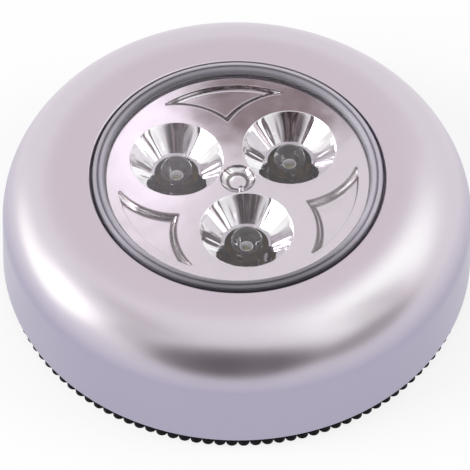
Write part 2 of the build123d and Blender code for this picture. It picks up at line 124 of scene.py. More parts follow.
@dataclass
class Skin:
    """Points in millimetres, with the quads and triangles between them."""

    points: np.ndarray
    quads: np.ndarray = field(default_factory=lambda: np.zeros((0, 4), int))
    tris: np.ndarray = field(default_factory=lambda: np.zeros((0, 3), int))

    def at(self, angle: float = 0.0, radius: float = 0.0, height: float = 0.0) -> "Skin":
        """Same skin moved out along X and up, then turned round the light's axis.

        Args:
            angle: turn about Z in degrees.
            radius: distance out from the axis.
            height: distance up.

        Returns:
            The moved skin.
        """
        turn = math.radians(angle)
        x, y, z = self.points.T
        x = x + radius
        across = x * math.cos(turn) - y * math.sin(turn)
        along = x * math.sin(turn) + y * math.cos(turn)
        return Skin(np.stack([across, along, z + height], axis=-1), self.quads, self.tris)

    def lying(self) -> "Skin":
        """Same skin laid down, so that what pointed up points along Y."""
        x, y, z = self.points.T
        return Skin(np.stack([x, z, -y], axis=-1), self.quads, self.tris)

    def mesh(self, name: str, crease: float) -> Object:
        """Blender object of the skin, welded and facing outwards, its quads smooth and triangles flat.

        Args:
            name: name of the piece.
            crease: angle in degrees past which an edge looks sharp.

        Returns:
            The object, at the origin, with its place in its mesh.
        """
        faces = [*self.quads.tolist(), *self.tris.tolist()]
        mesh = bpy.data.meshes.new(name)
        mesh.from_pydata((self.points * MM).tolist(), [], faces)
        mesh.polygons.foreach_set("use_smooth", np.arange(len(faces)) < len(self.quads))
        shape = bmesh.new()
        shape.from_mesh(mesh)
        bmesh.ops.remove_doubles(shape, verts=shape.verts, dist=1e-7)
        bmesh.ops.recalc_face_normals(shape, faces=shape.faces)
        shape.to_mesh(mesh)
        shape.free()
        smooth = np.zeros(len(mesh.polygons), bool)
        mesh.polygons.foreach_get("use_smooth", smooth)
        mesh.set_sharp_from_angle(angle=math.radians(crease))
        mesh.polygons.foreach_set("use_smooth", smooth)
        made = bpy.data.objects.new(name, mesh)
        bpy.context.scene.collection.objects.link(made)
        made.modifiers.new("level flats", "WEIGHTED_NORMAL").keep_sharp = True
        return made


def joined(*skins: Skin) -> Skin:
    """One skin from several, each with its own points."""
    starts = np.cumsum([0, *[len(skin.points) for skin in skins]])
    return Skin(
        np.concatenate([skin.points for skin in skins]),
        np.concatenate([skin.quads + start for skin, start in zip(skins, starts)]),
        np.concatenate([skin.tris + start for skin, start in zip(skins, starts)]),
    )


def trio(skin: Skin, angles: tuple[float, ...], radius: float = 0.0, height: float = 0.0) -> Skin:
    """Copies of a skin at three angles round the axis, moved out and up."""
    return joined(*[skin.at(angle, radius, height) for angle in angles])


def woven(grid: np.ndarray, close_rows: bool = False) -> Skin:
    """Skin over a grid of points whose columns go all round: each cell of the grid is one quad.

    Args:
        grid: points, rows by columns by 3.
        close_rows: whether the last row meets the first.

    Returns:
        The skin. A row whose points all coincide becomes a pole when it is welded.
    """
    rows, columns = grid.shape[:2]
    index = np.arange(rows * columns).reshape(rows, columns)
    if close_rows:
        index = np.concatenate([index, index[:1]])
    index = np.concatenate([index, index[:, :1]], axis=1)
    around = [index[:-1, :-1], index[:-1, 1:], index[1:, 1:], index[1:, :-1]]
    return Skin(grid.reshape(-1, 3), np.stack(around, axis=-1).reshape(-1, 4))


def polar(radius: np.ndarray, angles: np.ndarray, height: np.ndarray, close_rows: bool = False) -> Skin:
    """Skin whose points are (r cos t, r sin t, h), from arrays that are spread over one grid."""
    radius, angles, height = np.broadcast_arrays(radius, angles, height)
    return woven(np.stack([radius * np.cos(angles), radius * np.sin(angles), height], axis=-1), close_rows)


def stacked(loops: np.ndarray, heights: np.ndarray) -> Skin:
    """Skin through plan loops, loops by columns by 2, each at a height of its own."""
    levels = np.broadcast_to(heights[:, None, None], (*loops.shape[:2], 1))
    return woven(np.concatenate([loops, levels], axis=-1))


def all_round(columns: int) -> np.ndarray:
    """Angles in radians of even steps once round."""
    return np.linspace(0, 2 * np.pi, columns, endpoint=False)


def turned(profile: np.ndarray, columns: int = 96, close_rows: bool = False) -> Skin:
    """Surface of revolution round Z from a profile of radius and height pairs."""
    return polar(profile[:, :1], all_round(columns), profile[:, 1:], close_rows)


def swept_arc(section: np.ndarray, sweep: float, columns: int = 24) -> Skin:
    """Closed section of radius and height carried along an arc round the axis, with closed ends.

    Args:
        section: convex loop of radius and height pairs.
        sweep: length of the arc in degrees, half of it on each side of the X axis.
        columns: steps along the arc.

    Returns:
        The closed skin, whose end caps run from the section's edge to its middle.
    """
    angles = np.radians(np.linspace(-sweep / 2, sweep / 2, columns))
    angles = np.concatenate([angles[:1], angles, angles[-1:]])
    loops = np.repeat(section[None], columns + 2, axis=0)
    loops[[0, -1]] = section.mean(axis=0)
    return polar(loops[..., 0], angles[:, None], loops[..., 1])


def pipe(path: np.ndarray, radius: float, across: Colour, sides: int, dome: float = 0.75) -> Skin:
    """Round tube along a path: point + radius (n cos a + b sin a), n and b square to the path.

    Args:
        path: points of the middle line.
        radius: radius of the tube.
        across: a direction that the path never runs along.
        sides: points round the tube.
        dome: share of the radius to which the ring narrows at each end.

    Returns:
        The tube with its ends closed.
    """
    way = np.gradient(path, axis=0)
    way /= np.linalg.norm(way, axis=1, keepdims=True)
    side = np.cross(way, np.array(across))
    side /= np.linalg.norm(side, axis=1, keepdims=True)
    other = np.cross(way, side)
    angles = all_round(sides)[None, :, None]
    rim = np.cos(angles) * side[:, None] + np.sin(angles) * other[:, None]
    swell = np.array([0.0, dome])[:, None, None] * radius
    first = path[0] + rim[:1] * swell
    last = path[-1] + rim[-1:] * swell[::-1]
    return woven(np.concatenate([first, path[:, None] + radius * rim, last]))


def rounded(corners: list[tuple[float, float, float]], closed: bool = True, steps: int = 5) -> np.ndarray:
    """Outline through corners, each cut by an arc that touches both of its sides.

    The arc's middle lies on the corner's bisector, radius / sin(half angle) from the corner.

    Args:
        corners: across, up and rounding radius of each corner.
        closed: whether the outline is a loop; else its two ends stay sharp.
        steps: points on each arc.

    Returns:
        The outline's points.
    """
    spots = np.array([corner[:2] for corner in corners], float)
    outline = []
    for i, (_, _, radius) in enumerate(corners):
        here = spots[i]
        if radius == 0 or (not closed and i in (0, len(corners) - 1)):
            outline.append(here[None])
            continue
        back = spots[i - 1] - here
        ahead = spots[(i + 1) % len(spots)] - here
        back /= np.linalg.norm(back)
        ahead /= np.linalg.norm(ahead)
        half = math.acos(np.clip(back @ ahead, -1, 1)) / 2
        bisector = (back + ahead) / np.linalg.norm(back + ahead)
        middle = here + bisector * radius / math.sin(half)
        start, end = here + back * radius / math.tan(half), here + ahead * radius / math.tan(half)
        low = math.atan2(*(start - middle)[::-1])
        sweep = math.remainder(math.atan2(*(end - middle)[::-1]) - low, 2 * math.pi)
        turns = np.linspace(low, low + sweep, steps)
        outline.append(middle + radius * np.stack([np.cos(turns), np.sin(turns)], axis=-1))
    return np.concatenate(outline)


def bar(
    root: float, free: float, low: float, high: float, edge: float, low_edge: float | None = None
) -> np.ndarray:
    """Section of a bar from its buried root to its free side, whose edges are rounded."""
    under = edge if low_edge is None else low_edge
    return rounded([(root, low, 0), (free, low, under), (free, high, edge), (root, high, 0)])


def circle(radius: float, columns: int, angle: float = 0.0, distance: float = 0.0) -> np.ndarray:
    """Circle in plan whose points are those of a turned skin set at that angle and distance."""
    return turned(np.array([(radius, 0.0)]), columns).at(angle, distance).points[:, :2]


def inside(points: np.ndarray, loop: np.ndarray) -> np.ndarray:
    """Whether each point lies inside a loop: a ray from it crosses the loop an odd number of times.

    Args:
        points: points in plan.
        loop: the loop's points in plan.

    Returns:
        True or false for each point.
    """
    start, end = loop, np.roll(loop, -1, axis=0)
    x, y = points[:, :1], points[:, 1:]
    spans = (start[:, 1] > y) != (end[:, 1] > y)
    rise = np.where(end[:, 1] == start[:, 1], 1.0, end[:, 1] - start[:, 1])
    crossing = start[:, 0] + (y - start[:, 1]) * (end[:, 0] - start[:, 0]) / rise
    return np.sum(spans & (x < crossing), axis=1) % 2 == 1


def flat_face(outline: np.ndarray, holes: list[np.ndarray], height: float) -> Skin:
    """Flat web between an outline and the holes in it, as the triangles that fit them best.

    Args:
        outline: outer loop in plan.
        holes: loops that are left open.
        height: height of the face.

    Returns:
        The triangles whose middles are inside the outline and outside the holes.
    """
    loops = [outline, *holes]
    edges = []
    start = 0
    for loop in loops:
        index = np.arange(len(loop))
        edges.append(np.stack([index, (index + 1) % len(loop)], axis=-1) + start)
        start += len(loop)
    spots = [Vector(spot) for spot in np.concatenate(loops).tolist()]
    found = delaunay_2d_cdt(spots, np.concatenate(edges).tolist(), [], 0, 1e-7)
    points, tris = np.array([tuple(spot) for spot in found[0]]), np.array(found[2])
    middles = points[tris].mean(axis=1)
    keep = inside(middles, outline)
    for hole in holes:
        keep &= ~inside(middles, hole)
    heights = np.full((len(points), 1), height)
    return Skin(np.concatenate([points, heights], axis=1), tris=tris[keep])


def dress(piece: Object, finish: Material) -> Object:
    """Gives a piece or a node one material on every face.

    Args:
        piece: the piece or node.
        finish: its material.

    Returns:
        The same piece.
    """
    piece.data.materials.clear()
    piece.data.materials.append(finish)
    return piece


def place(
    name: str, skin: Skin, finish: Material, body: Body, slot: Slot, *nodes: str, crease: float = 35.0
) -> Object:
    """Makes a piece that rides on a body.

    Args:
        name: name of the piece.
        skin: its surface.
        finish: its material.
        body: the body that it moves with.
        slot: its slot of the record; not used.
        nodes: CAD nodes that it stands for.
        crease: angle in degrees past which an edge looks sharp.

    Returns:
        The piece.
    """
    piece = dress(skin.mesh(name, crease), finish)
    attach(piece, body.value)
    if nodes:
        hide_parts(*nodes)
    log.info("%s rides on %s, %d faces", name, body.value, len(piece.data.polygons))
    return piece


# Finishes


class Wiring:
    """Node tree that is put together node by node."""

    def __init__(self, tree: bpy.types.NodeTree) -> None:
        """Takes the tree."""
        self.tree = tree

    def feed(self, node: bpy.types.Node, inputs: dict) -> None:
        """Links or sets inputs of a node.

        Args:
            node: the node.
            inputs: sockets, numbers or colours by input name or number.
        """
        for key, value in inputs.items():
            socket = node.inputs[key]
            if isinstance(value, Socket):
                self.tree.links.new(value, socket)
            else:
                socket.default_value = (*value, 1.0) if socket.type == "RGBA" else value

    def node(self, kind: str, inputs: dict, **settings: object) -> bpy.types.Node:
        """Adds a node.

        Args:
            kind: Blender's name of the node type, after "ShaderNode".
            inputs: sockets, numbers or colours by input name or number.
            settings: attributes of the node.

        Returns:
            The node.
        """
        made = self.tree.nodes.new(f"ShaderNode{kind}")
        for key, value in settings.items():
            setattr(made, key, value)
        self.feed(made, inputs)
        return made

    def maths(self, operation: str, first: Number, second: Number = 0.0) -> Socket:
        """Result of one sum on sockets or numbers."""
        return self.node("Math", {0: first, 1: second}, operation=operation).outputs[0]

    def vector(self, operation: str, first: Socket, second: Socket | Colour) -> Socket:
        """Result of one sum on vectors, which is a number for a distance or a dot product."""
        made = self.node("VectorMath", {0: first, 1: second}, operation=operation)
        return made.outputs["Value" if operation in ("DISTANCE", "DOT_PRODUCT") else "Vector"]

    def span(
        self, factor: Socket, start: float, end: float, low: float, high: float, way: str = "LINEAR"
    ) -> Socket:
        """Value that goes from low to high while a factor goes from start to end."""
        ends = {"Value": factor, "From Min": start, "From Max": end, "To Min": low, "To Max": high}
        return self.node("MapRange", ends, interpolation_type=way).outputs["Result"]

    def vary(self, noise: Socket, low: float, high: float) -> Socket:
        """Noise as a value between two others."""
        return self.span(noise, NOISE_LOW, NOISE_HIGH, low, high)

    def mix(self, factor: Socket, low: Socket | Colour, high: Socket | Colour) -> Socket:
        """Colour between two colours."""
        return self.node("Mix", {"Factor": factor, 6: low, 7: high}, data_type="RGBA").outputs[2]

    def seen(self) -> Socket:
        """One for the rays that see or mirror a thing, from the camera, gloss or clear plastic.

        Returns:
            One or zero.
        """
        path = self.node("LightPath", {}).outputs
        mirrored = self.maths("MAXIMUM", path["Is Camera Ray"], path["Is Glossy Ray"])
        return self.maths("MAXIMUM", mirrored, path["Is Transmission Ray"])


class Shader(Wiring):
    """Material being put together round one Principled shader, in Object coordinates."""

    def __init__(self, name: str) -> None:
        """Makes the material and its coordinates.

        Args:
            name: name of the material.
        """
        self.material = bpy.data.materials.new(name)
        self.material.use_nodes = True
        super().__init__(self.material.node_tree)
        self.surface = self.tree.nodes["Principled BSDF"]
        self.where = self.node("TexCoord", {}).outputs["Object"]

    def noise(self, scale: float, detail: float = 2.0, stretch: Colour = WHITE) -> Socket:
        """Noise with a given number of features to the metre.

        Args:
            scale: features to the metre.
            detail: finer layers on top.
            stretch: share of the scale along each axis.

        Returns:
            The noise, most of it between NOISE_LOW and NOISE_HIGH.
        """
        spot = self.node("Mapping", {"Vector": self.where, "Scale": stretch})
        made = self.node("TexNoise", {"Vector": spot.outputs[0], "Scale": scale, "Detail": detail})
        return made.outputs["Fac"]

    def ramp(self, factor: Socket, stops: list[tuple[float, Colour]], hard: bool = False) -> Socket:
        """Colour between stops of place and colour, blended or with hard edges.

        Args:
            factor: place along the ramp.
            stops: places and their colours, in order.
            hard: whether each colour holds until the next stop.

        Returns:
            The colour.
        """
        made = self.node("ValToRGB", {"Fac": factor})
        band = made.color_ramp
        band.interpolation = "CONSTANT" if hard else "LINEAR"
        while len(band.elements) < len(stops):
            band.elements.new(1.0)
        for element, (spot, colour) in zip(band.elements, stops):
            element.position = spot
            element.color = (*colour, 1.0)
        return made.outputs["Color"]

    def clouded(self, factor: Socket, colour: Colour, spread: float) -> Socket:
        """Colour that noise makes a little darker and lighter.

        Args:
            factor: the noise.
            colour: the colour between.
            spread: share by which it changes each way.

        Returns:
            The colour.
        """
        darker = tuple(value * (1 - spread) for value in colour)
        lighter = tuple(min(value * (1 + spread), 1.0) for value in colour)
        return self.ramp(factor, [(NOISE_LOW, darker), (NOISE_HIGH, lighter)])

    def along(self, direction: Colour) -> Socket:
        """Place along a direction, in metres from the origin."""
        return self.vector("DOT_PRODUCT", self.where, direction)

    def away(self, x: float = 0.0, y: float = 0.0) -> Socket:
        """Distance in metres from an upright line, the light's axis unless it is moved."""
        return self.vector("DISTANCE", self.vector("MULTIPLY", self.where, (1.0, 1.0, 0.0)), (x, y, 0.0))

    def bump(self, height: Socket, depth: float) -> Socket:
        """Normal of a surface that is raised by up to depth metres."""
        return self.node("Bump", {"Height": height, "Distance": depth, "Strength": 1.0}).outputs["Normal"]

    def set(self, **values: object) -> None:
        """Sets or links the surface's inputs, with _ for each space in their names."""
        self.feed(self.surface, {key.replace("_", " "): value for key, value in values.items()})

    def show(self, front: bpy.types.Node, back: bpy.types.Node, share: Socket) -> None:
        """Shows a mixture of two other shaders, with a share of the second, in place of the surface."""
        mixed = self.node("MixShader", {"Fac": share, 1: front.outputs[0], 2: back.outputs[0]})
        self.feed(self.tree.nodes["Material Output"], {"Surface": mixed.outputs[0]})


@dataclass(frozen=True)
class Finish:
    """Look of a material."""

    name: str

    def paint(self, shader: Shader) -> None:
        """Fills in the shader; each finish has its own way."""
        raise NotImplementedError

    def material(self) -> Material:
        """Builds the material.

        Returns:
            The material.
        """
        shader = Shader(self.name)
        self.paint(shader)
        return shader.material


@dataclass(frozen=True)
class MouldedPlastic(Finish):
    """Moulded plastic: fine spark-eroded grain with faint clouding of its colour."""

    colour: Colour
    roughness: float = 0.5
    grain: float = 6000.0
    depth: float = 0.00001
    gloss: float = 0.45
    clouds: float = 90.0
    spread: float = 0.12

    def paint(self, shader: Shader) -> None:
        """Clouds the colour and roughens the face with its grain."""
        grain = shader.noise(self.grain)
        shader.set(
            Base_Color=shader.clouded(shader.noise(self.clouds, 3.0), self.colour, self.spread),
            Roughness=shader.vary(grain, self.roughness - 0.06, self.roughness + 0.08),
            Specular_IOR_Level=self.gloss,
            Normal=shader.bump(grain, self.depth),
        )


@dataclass(frozen=True)
class SatinPaint(Finish):
    """Silver paint: fine flakes in a satin binder, with painted shade down the side, darker and bluer where
    the side mirrors the shadowed floor.
    """

    colour: Colour = (0.68, 0.62, 0.68)
    # painted shade: the side's darker, bluer colour stands for the shadowed floor that the side mirrors
    shaded_side_colour: Colour = (0.41, 0.38, 0.50)
    shade_fade_low: float = 0.0135
    shade_fade_high: float = 0.0175
    flakes: float = 9000.0
    flake_mix: float = 0.06
    clouds: float = 120.0
    roughness: tuple[float, float] = (0.28, 0.31)
    peel: float = 700.0
    peel_depth: float = 0.0000015

    def paint(self, shader: Shader) -> None:
        """Goes from the side's painted shade to the top's colour with height, broken up by the flakes.

        Args:
            shader: the shader to fill in.
        """
        flake = shader.noise(self.flakes, 3.0)
        # painted shade of the side, which fades out with height
        height = shader.span(shader.along(UP), self.shade_fade_low, self.shade_fade_high, 0.15, 0.85)
        shade_and_flakes = shader.maths("ADD", height, shader.vary(flake, -self.flake_mix, self.flake_mix))
        shader.set(
            Base_Color=shader.ramp(shade_and_flakes, [(0.1, self.shaded_side_colour), (0.9, self.colour)]),
            Metallic=0.95,
            Roughness=shader.vary(shader.noise(self.clouds), *self.roughness),
            Specular_IOR_Level=0.5,
            Normal=shader.bump(shader.noise(self.peel, 1.0), self.peel_depth),
        )


@dataclass(frozen=True)
class PlatedChrome(Finish):
    """Bright plating on moulded plastic, with the faint waves of the moulding under it."""

    colour: Colour = (0.80, 0.77, 0.80)
    haze: float = 300.0
    spread: float = 0.02
    roughness: tuple[float, float] = (0.03, 0.07)
    waves: float = 160.0
    wave_depth: float = 0.00002

    def paint(self, shader: Shader) -> None:
        """Makes a mirror with a trace of haze and waves."""
        haze = shader.noise(self.haze, 3.0)
        shader.set(
            Base_Color=shader.clouded(haze, self.colour, self.spread),
            Metallic=1.0,
            Roughness=shader.vary(haze, *self.roughness),
            Normal=shader.bump(shader.noise(self.waves, 1.0), self.wave_depth),
        )


@dataclass(frozen=True)
class GroovedChrome(PlatedChrome):
    """Plating with painted shade and painted reflection: darker on the lip and foot of the wing pockets'
    walls and the dimple's.
    """

    top: float = 0.0205
    depth: float = 0.0009
    below: float = 1.1
    inner: float = 0.009
    outer: float = 0.0191
    cup_pitch: float = 0.01008
    cup_reach: float = 0.0074
    dimple: float = 0.0028
    # colour of the painted shade and reflection on the walls' lip and foot
    painted_dark: Colour = (0.22, 0.187, 0.1936)

    def paint(self, shader: Shader) -> None:
        """Darkens bands of depth in the plate's middle and outer part, away from the cups, as painted shade
        and reflection.

        Args:
            shader: the shader to fill in.
        """
        super().paint(shader)
        radius, height = shader.away(), shader.along(UP)
        bands = [
            (0.0, WHITE),
            (0.04, self.painted_dark),
            (0.20, self.painted_dark),
            (0.30, WHITE),
            (0.66, WHITE),
            (0.80, self.painted_dark),
            (0.96, self.painted_dark),
            (1.0, WHITE),
        ]
        # painted shade and reflection: dark bands at the lip and foot of each wall
        walls = shader.ramp(shader.span(height, self.top, self.top - self.depth, 0.0, 1.0), bands)
        pockets = shader.maths("GREATER_THAN", radius, self.inner)
        painted_shade_mask = shader.maths("MAXIMUM", pockets, shader.maths("LESS_THAN", radius, self.dimple))
        lowest = self.top - self.depth * self.below
        limits = [("LESS_THAN", radius, self.outer), ("GREATER_THAN", height, lowest)]
        for turn in np.radians(CORNER_ANGLES):
            cup = shader.away(self.cup_pitch * math.cos(turn), self.cup_pitch * math.sin(turn))
            limits.append(("GREATER_THAN", cup, self.cup_reach))
        for limit in limits:
            painted_shade_mask = shader.maths("MULTIPLY", painted_shade_mask, shader.maths(*limit))
        plain = shader.surface.inputs["Base Color"].links[0].from_socket
        shader.set(Base_Color=shader.vector("MULTIPLY", plain, shader.mix(painted_shade_mask, WHITE, walls)))


@dataclass(frozen=True)
class ClearPlastic(Finish):
    """Clear plastic or epoxy with polished faces and a trace of haze."""

    colour: Colour = (0.98, 0.975, 0.985)
    ior: float = 1.49
    haze: float = 0.012
    clearness: float = 1.0
    smears: float = 220.0
    spread: float = 0.01
    waves: float = 130.0
    wave_depth: float = 0.000004

    def paint(self, shader: Shader) -> None:
        """Lets light through, dulled a little where smears are."""
        smear = shader.noise(self.smears, 3.0)
        shader.set(
            Base_Color=shader.clouded(smear, self.colour, self.spread),
            Roughness=shader.span(smear, 0.35, 0.75, 0.0, self.haze),
            IOR=self.ior,
            Transmission_Weight=self.clearness,
            Normal=shader.bump(shader.noise(self.waves, 1.0), self.wave_depth),
        )


@dataclass(frozen=True)
class ClearLens(ClearPlastic):
    """Clear acrylic whose skirt, seen end-on through the rim, is half clear and carries painted reflections
    and painted shade.
    """

    mirror: float = 0.15
    start: float = 0.0202
    width: float = 0.0020
    # painted shade of the rim: darker in front, at the left and at the back
    front_shade: float = 0.32
    front_shade_span: tuple[float, float] = (-0.021, -0.010)
    left_shade: float = 0.82
    left_shade_span: tuple[float, float] = (-0.021, 0.0)
    back_shade: float = 0.5
    back_shade_span: tuple[float, float] = (0.008, 0.019)
    # painted reflections: the light and dark rings that the rim's ridges and groove show
    painted_inner_line: Colour = (0.52, 0.49, 0.56)
    painted_ridge_light: Colour = (0.86, 0.82, 0.90)
    groove: Colour = (0.46, 0.43, 0.50)

    def paint(self, shader: Shader) -> None:
        """Paints light and dark rings on the rim by radius as painted reflections, with painted shade in
        front, at the left and at the back of its inner part.

        Args:
            shader: the shader to fill in.
        """
        super().paint(shader)
        rim = shader.span(shader.away(), self.start, self.start + self.width, 0.0, 1.0)
        # painted reflections: rings of light and dark by radius across the rim
        painted_rim_bands = shader.ramp(rim, [
            (0.0, self.colour),
            (0.10, self.painted_inner_line),
            (0.24, self.painted_ridge_light),
            (0.44, self.painted_ridge_light),
            (0.54, self.groove),
            (0.64, self.groove),
            (0.74, self.painted_ridge_light),
            (0.92, self.painted_ridge_light),
            (1.0, self.groove),
        ])
        # painted shade: darker in front, at the left and at the back
        front = shader.span(shader.along(BACK), *self.front_shade_span, self.front_shade, 1.0)
        left = shader.span(shader.along(RIGHT), *self.left_shade_span, self.left_shade, 1.0)
        back = shader.span(shader.along(BACK), *self.back_shade_span, 1.0, self.back_shade)
        back = shader.maths("MAXIMUM", back, shader.span(rim, 0.55, 0.75, 0.0, 1.0))
        painted_rim_shade = shader.maths("MULTIPLY", shader.maths("MULTIPLY", front, left), back)
        painted_rim_shade = shader.maths("MAXIMUM", painted_rim_shade, shader.span(rim, 0.0, 0.2, 1.0, 0.0))
        shader.set(
            Base_Color=shader.vector("MULTIPLY", painted_rim_bands, painted_rim_shade),
            Specular_IOR_Level=self.mirror,
            Transmission_Weight=shader.ramp(rim, [(0.0, WHITE), (0.12, GREY), (1.0, GREY)]),
        )


@dataclass(frozen=True)
class DrawnMetal(Finish):
    """Plated sheet or wire: fine streaks one way, with a little staining."""

    colour: Colour
    roughness: float = 0.28
    streaks: float = 5000.0
    grain: Colour = (1.0, 1.0, 0.08)
    stains: float = 250.0
    spread: float = 0.08
    depth: float = 0.000004

    def paint(self, shader: Shader) -> None:
        """Stains the metal and draws its streaks."""
        streak = shader.noise(self.streaks, 2.0, self.grain)
        shader.set(
            Base_Color=shader.clouded(shader.noise(self.stains, 3.0), self.colour, self.spread),
            Metallic=1.0,
            Roughness=shader.vary(streak, self.roughness - 0.07, self.roughness + 0.09),
            Normal=shader.bump(streak, self.depth),
        )


@dataclass(frozen=True)
class CellWrap(Finish):
    """Printed plastic sleeve in two colours, which meet in a ring near the cell's raised end."""

    angle: float
    half_length: float = 0.0222
    main: Colour = (0.035, 0.048, 0.075)
    band: Colour = (0.60, 0.61, 0.62)
    band_start: float = 0.73
    band_end: float = 0.965
    depth: float = 0.00001

    def paint(self, shader: Shader) -> None:
        """Prints the band along the cell, with a slightly ragged edge.

        Args:
            shader: the shader to fill in.
        """
        turn = math.radians(self.angle)
        along = shader.along((-math.sin(turn), math.cos(turn), 0.0))
        spot = shader.span(along, -self.half_length, self.half_length, 0.0, 1.0)
        edge = shader.maths("ADD", spot, shader.vary(shader.noise(900.0), -0.002, 0.002))
        crinkle = shader.noise(500.0, 2.0, (1.0, 1.0, 0.4))
        print_bands = [(0.0, self.main), (self.band_start, self.band), (self.band_end, self.main)]
        shader.set(
            Base_Color=shader.ramp(edge, print_bands, hard=True),
            Roughness=shader.vary(crinkle, 0.22, 0.34),
            Coat_Weight=0.3,
            Normal=shader.bump(crinkle, self.depth),
        )


@dataclass(frozen=True)
class BandedLacquer(Finish):
    """Tan lacquer of a resistor with four painted rings, which run across X."""

    body: Colour = (0.62, 0.47, 0.28)
    rings: tuple[tuple[float, float, Colour], ...] = (
        (0.17, 0.25, (0.16, 0.055, 0.02)),
        (0.36, 0.43, (0.01, 0.01, 0.01)),
        (0.52, 0.59, (0.16, 0.055, 0.02)),
        (0.76, 0.84, (0.52, 0.36, 0.09)),
    )
    half_length: float = 0.00315
    wobble: float = 0.008
    depth: float = 0.00001

    def paint(self, shader: Shader) -> None:
        """Paints the rings with wavy edges.

        Args:
            shader: the shader to fill in.
        """
        spot = shader.span(shader.along(RIGHT), -self.half_length, self.half_length, 0.0, 1.0)
        wobble = shader.vary(shader.noise(1500.0), -self.wobble, self.wobble)
        rings = [(0.0, self.body)]
        for start, end, colour in self.rings:
            rings += [(start, colour), (end, self.body)]
        shader.set(
            Base_Color=shader.ramp(shader.maths("ADD", spot, wobble), rings, hard=True),
            Roughness=shader.vary(shader.noise(800.0), 0.24, 0.36),
            Normal=shader.bump(shader.noise(700.0), self.depth),
        )


@dataclass(frozen=True)
class BoardLaminate(Finish):
    """Paper laminate with faint fibres, and tinned tracks in rings on its underside."""

    colour: Colour = (0.52, 0.36, 0.17)
    track: Colour = (0.60, 0.60, 0.57)
    spread: float = 0.16
    underside: float = 0.00985
    track_pitch: float = 0.0026
    track_share: float = 0.55
    depth: float = 0.00001

    def paint(self, shader: Shader) -> None:
        """Lays the tracks on the side that faces down.

        Args:
            shader: the shader to fill in.
        """
        fibres = shader.noise(900.0, 3.0, (1.0, 0.15, 1.0))
        swing = shader.maths("PINGPONG", shader.away(), self.track_pitch)
        ring = shader.maths("GREATER_THAN", swing, self.track_pitch * self.track_share)
        tracks = shader.maths("MULTIPLY", ring, shader.maths("LESS_THAN", shader.along(UP), self.underside))
        shader.set(
            Base_Color=shader.mix(tracks, shader.clouded(fibres, self.colour, self.spread), self.track),
            Metallic=tracks,
            Roughness=shader.vary(fibres, 0.42, 0.52),
            Normal=shader.bump(fibres, self.depth),
        )


@dataclass(frozen=True)
class FoamTape(Finish):
    """Closed-cell foam: small pits between pale walls."""

    colour: Colour = (0.82, 0.81, 0.78)
    spread: float = 0.1
    cells: float = 2600.0
    depth: float = 0.00005

    def paint(self, shader: Shader) -> None:
        """Pits the face with cells."""
        pits = shader.node("TexVoronoi", {"Vector": shader.where, "Scale": self.cells}).outputs["Distance"]
        shader.set(
            Base_Color=shader.clouded(pits, self.colour, self.spread),
            Roughness=shader.span(pits, 0.1, 0.6, 0.78, 0.92),
            Sheen_Weight=0.15,
            Normal=shader.bump(pits, self.depth),
        )


# Base


